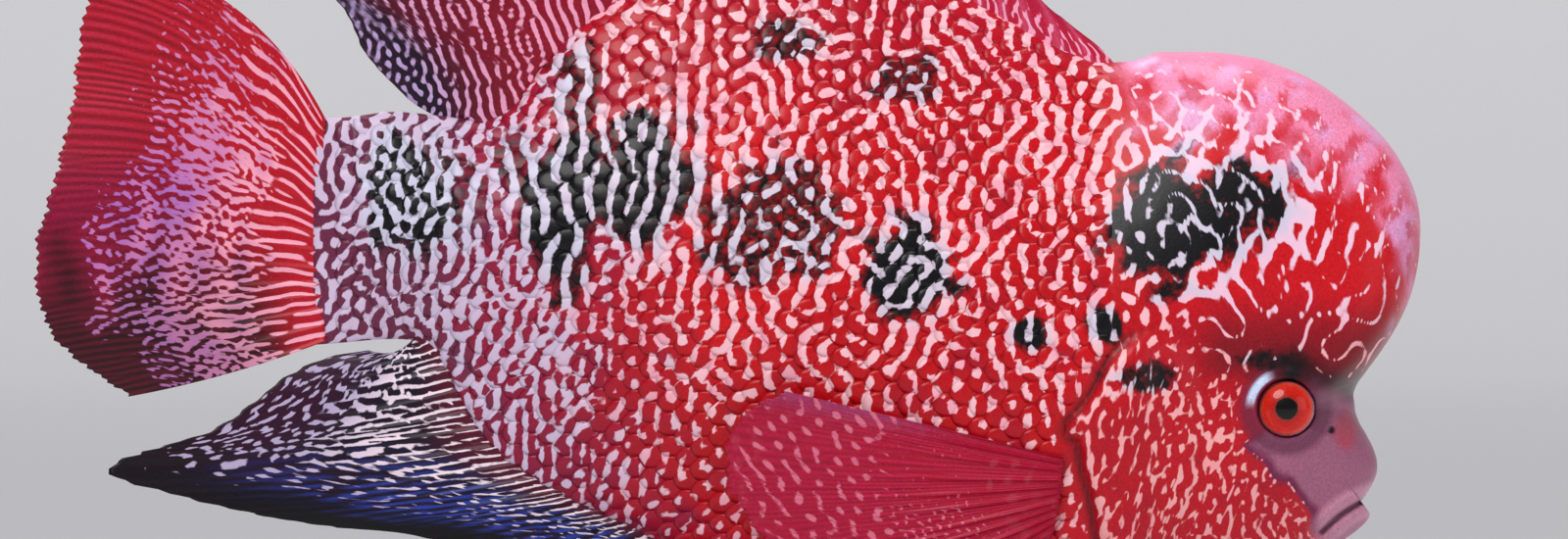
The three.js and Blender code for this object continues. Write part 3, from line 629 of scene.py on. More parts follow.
class Nodes:
    """The nodes of one material. Each call adds a node and gives the socket it ends in."""

    def __init__(self, name):
        self.material = bpy.data.materials.new(name)
        self.material.use_nodes = True
        self.tree = self.material.node_tree
        self.tree.nodes.clear()

    def add(self, kind, inputs, output=0, **settings):
        node = self.tree.nodes.new("ShaderNode" + kind)
        for key, value in settings.items():
            setattr(node, key, value)
        for key, value in inputs.items():
            if isinstance(value, bpy.types.NodeSocket):
                self.tree.links.new(value, node.inputs[key])
            else:
                node.inputs[key].default_value = value
        return node.outputs[output]

    def place(self, **mapping):
        """Object coordinates, moved or stretched."""
        return self.add("Mapping", {"Vector": self.add("TexCoord", {}, "Object"), **mapping})

    def noise(self, scale_mm, detail=2.0, stretch=(1, 1, 1)):
        """Noise on Object coordinates whose forms are about scale_mm across."""
        return self.add("TexNoise", {
            "Vector": self.place(Scale=stretch), "Scale": 1 / (scale_mm * MM), "Detail": detail,
            "Roughness": 0.55})

    def calc(self, operation, *values):
        return self.add("Math", dict(enumerate(values)), operation=operation)

    def remap(self, value, low, high, to_low=0, to_high=1, **settings):
        return self.add("MapRange", {"Value": value, "From Min": low, "From Max": high,
                                     "To Min": to_low, "To Max": to_high}, **settings)

    def shade(self, tone, factor):
        return self.add("VectorMath", {0: tone, 3: factor}, operation="SCALE")

    def blend(self, share, a, b):
        return self.add("Mix", {0: share, 6: a, 7: b}, 2, data_type="RGBA")

    def bump(self, height, strength, depth_mm):
        return self.add("Bump", {"Height": height, "Strength": strength, "Distance": depth_mm * MM})

    def ramp(self, value, stops):
        """Colours at places of the value from 0 to 1."""
        socket = self.add("ValToRGB", {0: value})
        bar = socket.node.color_ramp
        while len(bar.elements) < len(stops):
            bar.elements.new(0.5)
        for element, (where, code) in zip(bar.elements, stops):
            element.position = where
            element.color = colour(code)
        return socket

    def finish(self, inputs):
        """The finished material, whose surface has these inputs."""
        output = self.tree.nodes.new("ShaderNodeOutputMaterial")
        self.tree.links.new(self.add("BsdfPrincipled", inputs), output.inputs[0])
        return self.material


def marked_material(name, roughness, coat, bump_mm, grain_mm, soft=0.16, through=0.0, alpha=1.0):
    """Wet skin or fin: ground, blotches and pale marks from the piece's own attributes."""
    nodes = Nodes(name)
    read = lambda key, output: nodes.add("Attribute", {}, output, attribute_name=key)
    ragged = nodes.calc("MULTIPLY_ADD", nodes.noise(1.4), 0.7, -0.35)
    on = lambda key, low, high: nodes.remap(
        nodes.calc("ADD", read(key, "Fac"), ragged), low, high, interpolation_type="SMOOTHSTEP")
    grain = nodes.noise(grain_mm, 4.0)
    shaded = nodes.shade(read("ground", "Color"), nodes.remap(grain, 0.3, 0.7, 0.78, 1.18))
    inked = nodes.blend(on("ink", -0.22, 0.26), shaded, colour("#07050A"))
    marked = nodes.blend(on("mark", -soft, soft + 0.12), inked, read("marking", "Color"))
    rough = nodes.remap(grain, 0.25, 0.75, roughness - 0.07, roughness + 0.09)
    return nodes.finish({
        "Base Color": marked, "Roughness": rough, "Normal": nodes.bump(grain, 0.5, bump_mm),
        "IOR": 1.4, "Specular IOR Level": 0.3,
        "Coat Weight": coat, "Coat Roughness": 0.14, "Coat IOR": 1.33, "Subsurface Weight": through,
        "Subsurface Radius": (1.0, 0.35, 0.3), "Subsurface Scale": 1.6 * MM, "Alpha": alpha})


# Skin: wet skin over flesh, which gives a soft broad gloss and a little light through the surface
SKIN = marked_material("wet_fish_skin", 0.4, 0.16, 0.12, 0.5, through=0.08)
# Scales: thin bony plates under clear skin, so glossier than the skin between them
SCALE = marked_material("ctenoid_scale", 0.35, 0.18, 0.06, 0.35, through=0.04)
# Fins: thin membrane between bony rays, satin where it is wet
FIN = marked_material("fin_membrane", 0.4, 0.12, 0.08, 0.45, soft=0.2, through=0.05)
# Pectoral fins: the same membrane without dark pigment, so the flank shows through a little
CLEAR_FIN = marked_material("clear_fin_membrane", 0.38, 0.15, 0.06, 0.45, soft=0.3, alpha=0.8)


def eye_material():
    """Fish eye under a clear cornea: black pupil, red iris that pales outwards, and a dark rim."""
    nodes = Nodes("cornea_over_iris")
    centred = nodes.place(Location=(-EYE_X * MM, 0, -EYE_Z * MM))
    flat = nodes.add("VectorMath", {0: centred, 1: (1, 0, 1)}, operation="MULTIPLY")
    reach = nodes.add("VectorMath", {0: flat}, "Value", operation="LENGTH")
    wobble = nodes.calc("MULTIPLY_ADD", nodes.noise(0.9), 0.5 * MM, -0.25 * MM)
    share = nodes.calc("DIVIDE", nodes.calc("ADD", reach, wobble), EYE_RADIUS * MM)
    iris = nodes.ramp(share, [
        (0.0, "#020102"), (0.37, "#040203"), (0.41, "#9A2814"), (0.46, "#B01208"), (0.62, "#CA1608"),
        (0.78, "#D6220E"), (0.88, "#DC4A38"), (0.95, "#B8606C"), (1.0, "#4A1420")])
    return nodes.finish({
        "Base Color": nodes.shade(iris, nodes.remap(nodes.noise(0.35, 4.0), 0.3, 0.7, 0.7, 1.25)),
        "Roughness": 0.35, "IOR": 1.376, "Specular IOR Level": 0.2, "Coat Weight": 0.8,
        "Coat Roughness": 0.02, "Coat IOR": 1.34})


def wood_material():
    """Oiled walnut: dark straight grain along the base, with open pores and a satin surface."""
    nodes = Nodes("oiled_walnut")
    rings = nodes.calc("MULTIPLY", nodes.noise(26, 5.0, stretch=(0.12, 1, 1)), 9.0)
    grain = nodes.ramp(nodes.calc("FRACT", rings), [(0, "#3A2113"), (0.75, "#5B371F")])
    pores = nodes.noise(0.7, stretch=(0.06, 1, 1))
    return nodes.finish({
        "Base Color": nodes.shade(grain, nodes.remap(pores, 0.32, 0.5, 0.55, 1.05)), "Roughness": 0.42,
        "Normal": nodes.bump(pores, 0.3, 0.1), "IOR": 1.47, "Coat Weight": 0.15, "Coat Roughness": 0.3})


def steel_material():
    """Brushed stainless steel: fine turning marks round the rod and a soft streaked gloss."""
    nodes = Nodes("brushed_stainless_steel")
    marks = nodes.noise(0.4, stretch=(0.06, 0.06, 2))
    return nodes.finish({
        "Base Color": nodes.blend(marks, colour("#BCBDC0"), colour("#C2C3C6")), "Metallic": 1.0,
        "Roughness": nodes.remap(marks, 0.3, 0.7, 0.25, 0.29), "Normal": nodes.bump(marks, 0.05, 0.01)})


def floor_material():
    """Matt studio paper: pale, with a barely visible tooth."""
    nodes = Nodes("studio_paper")
    tone = nodes.blend(nodes.noise(3), colour("#DAD9DC"), colour("#E2E1E3"))
    return nodes.finish({"Base Color": tone, "Roughness": 0.9})


def carry(piece, material, slot, *nodes):
    """Finishes a piece: its material, its body and the nodes it stands for. The slot is not used."""
    piece.data.materials.append(material)
    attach(piece, "root")
    if nodes:
        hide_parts(*nodes)
    return piece


def build_skin():
    """One closed skin: columns along the trunk, and rays round the eye for the head."""
    v = np.sin(np.linspace(-1, 1, 2 * TRUNK_ROWS + 1) * math.pi / 2)
    columns = len(v)
    cx = np.linspace(TAIL_X, HEAD_START, TRUNK_COLUMNS)
    middle = smooth(SPINE, cx)
    reach = np.where(v >= 0, (smooth(BACK, cx) - middle)[:, None], (middle - smooth(BELLY, cx))[:, None])
    trunk_x = np.repeat(cx[:, None], columns, 1)
    trunk_z = middle[:, None] + reach * v

    # The head's boundary: up the last column, then round from the nape to the throat
    nape = np.linspace(HEAD_START, EYE_X, 200)[1:]
    curve, _ = catmull(FACE, 900)
    ring_x = np.concatenate([nape, curve[1:-1, 0], nape[::-1]])
    ring_z = np.concatenate([smooth(BACK, nape), curve[1:-1, 1], smooth(BELLY, nape[::-1])])
    length = np.concatenate([[0], np.cumsum(np.hypot(np.diff(ring_x), np.diff(ring_z)))])
    at = np.linspace(0, length[-1], FACE_RAYS)
    round_x, round_z = np.interp(at, length, ring_x), np.interp(at, length, ring_z)
    # In front of the eye the rays' angles are evened out, and lie on the face's outline again
    angle = np.degrees(np.arctan2(round_z - EYE_Z, round_x - EYE_X))
    front = round_x > EYE_X
    turned = np.sort(angle[front])[::-1]
    padded = np.concatenate([turned[:1].repeat(3), turned, turned[-1:].repeat(3)])
    angle[front] = 0.3 * turned + 0.7 * np.convolve(padded, np.full(7, 1 / 7), "valid")
    true = smooth(FACE_POLAR, angle)
    round_x = np.where(front, EYE_X + true * np.cos(np.radians(angle)), round_x)
    round_z = np.where(front, EYE_Z + true * np.sin(np.radians(angle)), round_z)
    bx = np.concatenate([trunk_x[-1], round_x])
    bz = np.concatenate([trunk_z[-1], round_z])
    far = np.hypot(bx - EYE_X, bz - EYE_Z)
    dx, dz = (bx - EYE_X) / far, (bz - EYE_Z) / far
    inner = np.repeat(np.array(EYE_RINGS)[:, None], len(bx), 1)
    s = np.linspace(0, 1, OUTER_RINGS + 1)[1:, None]
    ray = np.arange(FACE_RAYS)
    # Towards the outline of the face the rings crowd, where the skin turns over
    crowding = np.concatenate([np.zeros(columns), ease(0, 45, np.minimum(ray, FACE_RAYS - 1 - ray))])
    g = s + crowding[None, :] * (np.sin(s * math.pi / 2) ** 0.9 - s)
    outer = EYE_RINGS[-1] + (far[None, :] - EYE_RINGS[-1]) * g
    radii = np.concatenate([inner, outer], 0)
    head_x, head_z = EYE_X + radii * dx, EYE_Z + radii * dz

    side_x = np.concatenate([trunk_x.ravel(), head_x.ravel(), [EYE_X]])
    side_z = np.concatenate([trunk_z.ravel(), head_z.ravel(), [EYE_Z]])
    y = skin_y(side_x, side_z)
    count = len(side_x)
    outline = np.zeros(count, bool)
    trunk_ids = np.arange(trunk_x.size).reshape(trunk_x.shape)
    head_ids = trunk_x.size + np.arange(head_x.size).reshape(head_x.shape)
    outline[trunk_ids[:, [0, -1]]] = True
    outline[head_ids[-1, columns:]] = True
    y[outline] = 0
    # The last ring of the head shares the trunk's last column, and the rings close on themselves
    head_ids[-1, :columns] = trunk_ids[-1]
    head_ids = np.concatenate([head_ids, head_ids[:, :1]], 1)

    a, b = trunk_ids[:-1], trunk_ids[1:]
    quads = np.stack([a[:, :-1], b[:, :-1], b[:, 1:], a[:, 1:]], -1).reshape(-1, 4)
    a, b = head_ids[:-1], head_ids[1:]
    ring = np.stack([a[:, 1:], b[:, 1:], b[:, :-1], a[:, :-1]], -1).reshape(-1, 4)
    quads = np.concatenate([quads, ring])
    fan = np.stack([np.full(len(bx), count - 1), head_ids[0, 1:], head_ids[0, :-1]], 1)

    # The right side faces -Y; the left is its mirror image and shares the outline
    points = np.concatenate([np.stack([side_x, side * y, side_z], 1) for side in (-1, 1)])
    paint = zip(*(skin_paint(side_x, side_z, side) for side in (-1, 1)))
    places = np.stack([uv_place(side_x, side_z, side) for side in (-1, 1)])
    left_id = np.where(outline, 0, count) + np.arange(count)
    tail = trunk_ids[0]
    wall = np.stack([tail[:-1], tail[1:], left_id[tail[1:]], left_id[tail[:-1]]], 1)
    faces = np.concatenate([quads, left_id[quads][:, ::-1], wall]).tolist()
    # Where points fall together a face loses a corner, or goes
    faces = [f for f in (list(dict.fromkeys(f)) for f in faces) if len(f) > 2]
    faces += np.concatenate([fan, left_id[fan][:, ::-1]]).tolist()
    corner = np.concatenate(faces)
    # A face of the left side takes all its places from the left half of the bake map
    on_left = np.repeat([int(max(f) >= count) for f in faces], [len(f) for f in faces])
    keep = np.zeros(2 * count, bool)
    keep[corner] = True
    new_id = (np.cumsum(keep) - 1).tolist()
    return make_mesh("fish_skin", points[keep], [[new_id[i] for i in f] for f in faces],
                     places[on_left, corner % count], [np.concatenate(pair)[keep] for pair in paint])


def skin_point(fx, fz, side):
    """Point of the skin at a place of the unwrap behind the eye."""
    z = rewrap(fx, fz)
    return np.stack([fx, side * skin_y(fx, z), z], -1)


def build_scales(side, name):
    """Overlapping scales of one flank, in staggered rows with their free edges to the tail.

    They are direct meshes: each one bends with the skin under it and takes its own marks.
    """
    rng = np.random.default_rng(31)
    centres = []
    for row, x in enumerate(np.arange(-97.0, 62.0, SCALE_ROW)):
        low, high = (float(unwrap(np.array([x]), np.array([float(smooth(line, x))]))[1][0])
                     for line in (BELLY, BACK))
        first, last = math.ceil((low + 1.6) / SCALE_PITCH), int((high - 1.6) / SCALE_PITCH)
        places = (np.arange(first, last + 1) + 0.5 * (row % 2)) * SCALE_PITCH
        centres += [(x, fz) for fz in places if low + 1.4 < fz < high - 1.4]
    cx, cz = np.array(centres).T
    z = rewrap(cx, cz)
    # None on the head and the gill cover
    nape_line = smooth([(40, 60), (66, 57.5), (97, 57.5), (112, 60), (150, 60), (170, 57)], z)
    wanted = (cx < nape_line - 2) & (distance_to(GILL_COVER, cx, z, closed=True) > 2.5)
    cx, cz = cx[wanted][:, None, None], cz[wanted][:, None, None]
    n = len(cx)

    # Each scale is a grid: S runs from its root to its free edge, and T across
    grid = SCALE_GRID ** 2
    S, T = np.meshgrid(np.linspace(0, 1, SCALE_GRID), np.linspace(-1, 1, SCALE_GRID), indexing="ij")
    rounded = np.sqrt(np.clip(1 - ((S - SCALE_CENTRE) / 0.6) ** 2, 0, 1))
    spread = np.where(S > SCALE_CENTRE, rounded, 0.86 + 0.14 * S / SCALE_CENTRE)
    size = (1 + 0.05 * rng.normal(size=n))[:, None, None]
    turn = (0.05 * rng.normal(size=n))[:, None, None]
    ahead = (SCALE_CENTRE - S)[None] * SCALE_LENGTH * size * (0.72 + 0.28 * ease(-95, -60, cx))
    across = (T * spread)[None] * SCALE_WIDTH / 2 * size
    fx = np.clip(cx + ahead - turn * across, TAIL_X + 0.5, 63)
    fz = cz + across + turn * ahead
    p = skin_point(fx, fz, side)
    step = 0.3
    normal = np.cross(skin_point(fx, fz + step, side) - p, skin_point(fx + step, fz, side) - p) * side
    normal /= np.linalg.norm(normal, axis=-1, keepdims=True) + 1e-9
    dome = 0.16 * (1 - T ** 2)
    rim = ease(0.75, 1.0, np.maximum(np.abs(T), S * 0.98))
    lift = (smooth([(0, -0.35), (0.35, 0.02), (0.8, 0.24), (1, 0.2)], S) + dome) * size - 0.12 * rim
    top, bottom = p + normal * lift[..., None], p + normal * (lift - SCALE_THICK)[..., None]
    points = np.concatenate([top.reshape(n, grid, 3), bottom.reshape(n, grid, 3)], 1)
    wall = [[a, b, b + grid, a + grid] for a, b in grid_border(SCALE_GRID, SCALE_GRID)]
    one = np.concatenate([grid_faces(SCALE_GRID, SCALE_GRID),
                          grid_faces(SCALE_GRID, SCALE_GRID, grid, flip=True), wall])
    if side < 0:
        one = one[:, ::-1]
    faces = (one + 2 * grid * np.arange(n)[:, None, None]).reshape(-1, 4)

    # Both faces of a scale have the same paint, darker towards its free edge
    fx, z = fx.ravel(), rewrap(fx, fz).ravel()
    ground, marking, mark, ink = skin_paint(fx, z, side)
    edge = np.tile((1 - 0.3 * rim * ease(0.5, 0.9, S)).ravel(), n)[:, None]
    double = lambda value: np.tile(value.reshape(n, grid, -1), (1, 2, 1)).reshape(2 * n * grid, -1)
    paint = [double(value) for value in (ground * edge, marking * (0.35 + 0.65 * edge), mark, ink)]
    return make_mesh(name, points.reshape(-1, 3), faces.tolist(), double(uv_place(fx, z, side)), paint)


def fin_grid(fin, root):
    """Grid of a fin's middle surface in side view, with its ridges: u across the rays, w along."""
    gaps = fin["rays"] - 1
    u = np.linspace(0, 1, gaps * RAY_STEPS * (1 + fin["splits"] // 2) + 1)
    ribs = lambda split: 0.5 + 0.5 * np.cos(2 * math.pi * u * gaps * 2 ** split)
    shift = np.random.default_rng(43).uniform(-0.2, 0.2, fin["rays"]) / gaps
    shift[[0, -1]] = 0
    uneven = u + np.interp(u, np.linspace(0, 1, fin["rays"]), shift)
    start, end = along(root, uneven), along(fin["edge"], uneven)
    draws = 4 * fin["rays"]
    ragged = np.interp(u, np.linspace(0, 1, draws), np.random.default_rng(41).uniform(0, 1, draws))
    ray = ribs(0)
    reach = 0.925 + 0.075 * ray ** 2
    if fin["splits"]:
        reach = 0.968 + 0.012 * ribs(fin["splits"]) + 0.02 * ragged
    chord = end - start
    across = np.stack([-chord[:, 1], chord[:, 0]], 1) / np.linalg.norm(chord, axis=1, keepdims=True)
    bow = across * (fin["bow"][0] + (fin["bow"][1] - fin["bow"][0]) * u)[:, None]
    W = np.linspace(0, 1, FIN_POINTS) * reach[:, None]
    place = start[:, None] + chord[:, None] * W[..., None] + bow[:, None] * (4 * W * (1 - W))[..., None]
    ridge = (ray ** 3)[:, None] + 0 * W
    for split in range(fin["splits"]):
        finer = ribs(split + 1)[:, None] ** 2 * (1 - 0.25 * (split + 1))
        ridge = mix(ridge, finer, ease(0.28 + 0.27 * split, 0.5 + 0.27 * split, W))
    return u[:, None], W, place[..., 0], place[..., 1], ridge


def fin_mesh(name, fin, root, middle, paint):
    """Closed fin: both faces carry the rays as ridges on a thin membrane."""
    u, w, x, z, ridge = fin_grid(fin, root)
    flesh = 0.9 * (1 - w) ** 5
    half = (0.14 + fin["ray"] * ridge * (1 - 0.75 * ease(0.2, 0.9, w))) * (1 - 0.45 * w) + flesh
    y = middle(x, z, u, w, half)
    rows, columns = x.shape
    points = np.concatenate([np.stack([x, y + d, z], -1).reshape(-1, 3) for d in (-half, half)])
    wall = [[a, a + x.size, b + x.size, b] for a, b in grid_border(rows, columns)]
    near, far = grid_faces(rows, columns, flip=True), grid_faces(rows, columns, x.size)
    faces = np.concatenate([near, far, wall])
    if signed_area(x, z) > 0:
        faces = faces[:, ::-1]
    span = max(np.ptp(x), np.ptp(z))
    flat = np.stack([(x - x.min()) / span * 0.94 + 0.02, (z - z.min()) / span * 0.46 + 0.01], -1)
    flat = flat.reshape(-1, 2)
    double = lambda value: np.tile(value.reshape(x.size, -1), (2, 1))
    # Fins have marks of their own and no blotches
    colours = [double(value) for value in (*paint(u + 0 * w, w, x, z, ridge), np.full(x.shape, -1.0))]
    return make_mesh(name, points, faces.tolist(), np.concatenate([flat, flat + (0, 0.5)]), colours)


def signed_area(x, z):
    """Sign of the grid's turning in side view, which tells its two faces apart."""
    return float(np.sum((x[1:, :-1] - x[:-1, :-1]) * (z[:-1, 1:] - z[:-1, :-1])
                        - (x[:-1, 1:] - x[:-1, :-1]) * (z[1:, :-1] - z[:-1, :-1])))


def body_root(fin):
    """A middle fin's root, sunk a little in the back or belly."""
    return [(x, float(smooth(fin["outline"], x)) + fin["sink"]) for x in np.linspace(*fin["span"], 13)]


def waving(fin):
    """Distance of a middle fin's surface from the fish's middle plane."""
    reach = lambda u: fin["wave"] + fin.get("gain", 0) * u
    return lambda x, z, u, w, half: reach(u) * w * w * np.sin(u * 2 * math.pi + 0.6)


def paint_caudal(u, w, x, z, ridge):
    """Red fan: pink streaks from the root, a pale net in the middle, plain margin, dark lower rays."""
    across, length = u * 46, w * 60
    cloud = sample(CLOUD_FINE, across, length)
    low = ease(0.5, 0.82, u + 0.04 * cloud)
    hair = sample(STREAKS, -150 + u * 150, 40 + w * 18)
    ground = tint(
        w.shape, "#B80A22", (0.6 * ease(0.3, 0.0, u) * ease(0.3, 0.8, w), "#DC1830"),
        (0.5 * ease(-0.3, 1.2, hair) * ease(0.45, 0.85, w), "#E8385E"),
        (0.6 * ease(0.2, -1.1, hair) * ease(0.35, 0.8, w), "#5C061C"),
        (0.3 * (1 - ridge) * ease(0.25, 0.7, w), "#560418"),
        (0.7 * ease(0.3, 0.55, u) * ease(0.15, 0.5, w), "#780A38"),
        (low * ease(0.05, 0.3, w) * (0.8 + 0.2 * ease(0.4, -0.8, hair)), "#24060F"))
    marking = tint(
        w.shape, "#F8A6BC", (ease(0.2, 0.5, w + 0.08 * cloud), "#D080B4"),
        (ease(0.45, 0.75, w + 0.1 * cloud) * ease(0.3, 0.5, u), "#A868BC"),
        (0.55 * low * ease(0.1, 0.4, w), "#A0688A"))
    streak = sample(STREAKS, -150 + across * 1.3, 40 + length * 0.7) - 0.6
    net = -0.55 - sample(DOTS, -60 + across * 1.9, 60 + length * 1.7)
    squares = sample(DOTS, -120 + across * 2.3, 90 + length * 1.5) - 0.15
    inner = 1.4 * ease(0.3, 0.62, w + 0.08 * cloud + 0.12 * ease(0.3, 0.6, u))
    middle = 1.7 * ease(0.13, 0.3, np.abs(w - 0.36 + 0.05 * cloud - 0.1 * u)) + 0.9 * ease(0.35, 0.1, u)
    outer = 1.7 * ease(0.12, 0.25, np.abs(w - 0.55 + 0.05 * cloud - 0.08 * u)) + 0.9 * ease(0.3, 0.05, u)
    mark = np.maximum(np.maximum(streak - inner, net - middle), squares - outer)
    return ground, marking, mark - 2.5 * ease(0.74, 0.88, w + 0.05 * cloud)


def paint_anal(u, w, x, z, ridge):
    """Black and navy, with thin white lines at the root, pale checks behind and a blue sheen below."""
    cloud = sample(CLOUD_FINE, u * 60, w * 50)
    hair = sample(STREAKS, -150 + u * 100, 60 + w * 20)
    below = ease(0.72, 0.5, u)
    edge = ease(0.5, 0.85, w + 0.05 * cloud) * below + ease(0.95, 1.0, w) * (1 - below)
    sheen = 0.85 * ease(-0.1, 0.9, hair) * below * ease(0.08, 0.3, w) * ease(0.95, 0.6, w)
    ground = tint(w.shape, "#5A0A26", (ease(0.0, 0.2, w), "#160620"),
                  (0.55 * ease(0.55, 0.8, u) * ease(0.3, 0.7, w), "#3A0A2C"), (sheen, "#2A44B0"),
                  (edge, "#050409"), (0.7 * ease(-112, -135, x), "#08040A"))
    lines = sample(STREAKS, -150 + u * 115, 40 + w * 40) - 0.5 - 1.2 * ease(0.42, 0.75, w + 0.3 * below)
    checks = sample(DOTS, -60 + u * 74, 60 + w * 70) - 0.05 - 1.2 * ease(0.35, 0.1, w)
    tip = ease(-124, -138, x + 4 * cloud)
    mark = np.maximum(lines, checks) - 2.4 * edge * ease(0.45, 0.8, w) - 0.7 * below * ease(0.2, 0.5, w)
    return ground, tint(w.shape, "#F0DCE8", (ease(0.2, 0.6, w), "#B4A6C8")), mark - tip - 0.3 * ridge


def paint_soft(u, w, x, z, ridge):
    """Crimson with pink stripes near the back, dark purple with pale dots to the rear edge."""
    stripes = sample(STREAKS, 1.1 * x + 0.25 * z, 1.1 * z) - 0.15
    dots = sample(DOTS, 1.35 * x, 1.2 * z) + 0.1
    rear = ease(0.3, 0.85, w * 0.6 + 0.5 * u)
    ground = tint(w.shape, "#8E0826", (ease(0.2, 0.7, w * 0.6 + 0.45 * u), "#160822"),
                  (0.35 * ridge * ease(0.3, 0.8, w), "#6A1238"))
    marking = tint(w.shape, "#EE9CBC", (rear, "#B8A0D0"))
    return ground, marking, mix(stripes, dots, rear) - 0.25 * ridge - 2 * ease(0.95, 1.0, w)


def paint_spiny(u, w, x, z, ridge):
    """Rose red with fine pale streaks and a darker edge."""
    streak = sample(STREAKS, -150 + u * 110, 40 + w * 30)
    ground = tint(w.shape, "#B81238", (0.6 * ease(0.5, 1, w), "#80103C"), (0.5 * ridge, "#D8547E"))
    return ground, tint(w.shape, "#F2A2C0"), streak - 0.35 - 1.6 * ease(0.35, 0.8, w)


def paint_pectoral(u, w, x, z, ridge):
    """Magenta red, fibrous at the root, with small round pale dots on the outer half."""
    hair = sample(STREAKS, -150 + u * 150, 40 + w * 24)
    ground = tint(w.shape, "#BE0C32", (0.7 * ease(0.2, 0.9, w), "#C41848"),
                  (0.5 * ease(0.2, 1.2, hair) * ease(0.9, 0.4, w), "#DE3068"),
                  (0.45 * ease(0.0, -1.0, hair), "#8A0626"),
                  (0.6 * ease(0.14, 0.0, u) * ease(0.3, 0.7, w), "#A8487E"))
    dots = sample(DOTS, 0.8 * x + 0.4 * z, 0.8 * z) - 0.5 - 2.2 * ease(0.6, 0.4, w)
    specks = sample(DOTS, 1.5 * x, 1.5 * z) - 0.45 - 2 * ease(0.1, 0.3, np.abs(w - 0.42))
    mark = np.maximum(dots, specks - 0.8 * ease(0.5, 0.3, u)) - 1.5 * ease(0.93, 1, w)
    return ground, tint(w.shape, "#EC7C98", (0.5 * ridge, "#E05078")), mark


def paint_pelvic(u, w, x, z, ridge):
    """Dark red, nearly black along the leading ray."""
    streak = sample(STREAKS, -100 + u * 18, 80 + w * 60)
    ground = tint(w.shape, "#A00C2C", (ease(0.3, 0.0, u) * ease(0, 0.4, w), "#2A0C22"))
    return ground, tint(w.shape, "#E88AA8"), streak - 0.3 - ease(0.5, 1, w)


def build_fins():
    """Every fin in the piece that stands for its node."""
    caudal = fin_mesh("tail_fin", CAUDAL, CAUDAL["root"], waving(CAUDAL), paint_caudal)
    carry(caudal, FIN, "fin_membrane", "caudal_fin")
    for name, fin, paint, node in (
        ("spiny_dorsal", DORSAL_SPINY, paint_spiny, "dorsal_fin_spiny"),
        ("soft_dorsal", DORSAL_SOFT, paint_soft, "dorsal_fin_soft"),
        ("anal_fan", ANAL, paint_anal, "anal_fin"),
    ):
        carry(fin_mesh(name, fin, body_root(fin), waving(fin), paint), FIN, "fin_membrane", node)
    for word, side in (("left", 1), ("right", -1)):
        off = lambda x, z, u, w, half: side * (
            np.maximum(half_width(x, z), 6) - 0.6 + half + 8.5 * w ** 1.5)
        pectoral = fin_mesh(f"breast_fin_{word}", PECTORAL, PECTORAL["root"], off, paint_pectoral)
        carry(pectoral, CLEAR_FIN, "fin_membrane", f"pectoral_fin_{word}")
        roots = []
        for share in (0, 0.5, 1):
            x = PELVIC["root_x"][0] + (PELVIC["root_x"][1] - PELVIC["root_x"][0]) * share
            heights = np.linspace(float(smooth(BELLY, x)), float(smooth(BELLY, x)) + 8, 200)
            wide = half_width(np.full(200, x), heights)
            roots.append((x, float(heights[np.argmax(wide > PELVIC["side"])]) + 0.8))
        splay = lambda x, z, u, w, half: side * (PELVIC["side"] + PELVIC["splay"] * w)
        pelvic = fin_mesh(f"belly_fin_{word}", PELVIC, roots, splay, paint_pelvic)
        carry(pelvic, FIN, "fin_membrane", f"pelvic_fin_{word}")


def build_eye(side, word):
    """A flattened eyeball with its axis across the fish."""
    rings, around = 40, 72
    theta = np.linspace(0, math.pi, rings + 1)[1:-1]
    phi = np.linspace(0, 2 * math.pi, around, endpoint=False)
    T, P = np.meshgrid(theta, phi, indexing="ij")
    depth = side * EYE_DEPTH
    wide = EYE_RADIUS * np.sin(T)
    ball = np.stack([wide * np.cos(P), depth * np.cos(T), wide * np.sin(P)], -1)
    points = np.concatenate([ball.reshape(-1, 3), [[0, depth, 0], [0, -depth, 0]]])
    faces = ring_faces(rings - 1, around)
    last, outer = (rings - 2) * around, len(points) - 2
    for j in range(around):
        k = (j + 1) % around
        faces += [[outer, k, j], [outer + 1, last + j, last + k]]
    if side < 0:
        faces = [f[::-1] for f in faces]
    return make_mesh(f"eyeball_{word}", points + (EYE_X, side * EYE_OUT, EYE_Z), faces)


def rounded_plate(low, high, corner, bevel):
    """A plate with round corners and a soft bevel round its top and bottom edges."""
    profile = [(bevel, low[2])]
    for k in range(1, 7):
        a = math.pi / 2 * k / 6
        profile.append((bevel * (1 - math.sin(a)), low[2] + bevel * (1 - math.cos(a))))
    for k in range(0, 9):
        a = math.pi / 2 * k / 8
        profile.append((bevel * (1 - math.cos(a)), high[2] - bevel * (1 - math.sin(a))))
    points = []
    steps = 14
    for inset, z in profile:
        for sx, sy, start in ((1, 1, 0), (-1, 1, 90), (-1, -1, 180), (1, -1, 270)):
            cx, cy = (high[0] - corner) * sx, (high[1] - corner) * sy
            for k in range(steps + 1):
                a = math.radians(start + 90 * k / steps)
                r = corner - inset
                points.append((cx + r * math.cos(a), cy + r * math.sin(a), z))
    return make_mesh("walnut_base", points, capped_faces(len(profile), 4 * (steps + 1)))


def turned_rod(name, node):
    """A round rod whose top fits up against the belly, with a small collar on the base."""
    low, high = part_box(node)
    cx, radius = (low[0] + high[0]) / 2 / MM, (high[0] - low[0]) / 2 / MM
    around = 48
    base_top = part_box("stand_base")[1][2] / MM
    top = float(smooth(BELLY, cx)) + 0.6
    profile = [(radius, low[2] / MM), (radius, base_top), (radius + 2.2, base_top),
               (radius + 2.2, base_top + 1.4), (radius + 1.8, base_top + 1.9), (radius, base_top + 2.2),
               (radius, base_top + 3), (radius, top - 1), (radius - 0.3, top)]
    turns = [2 * math.pi * j / around for j in range(around)]
    points = [(cx + r * math.cos(a), r * math.sin(a), z) for r, z in profile for a in turns]
    return make_mesh(name, points, capped_faces(len(profile), around))


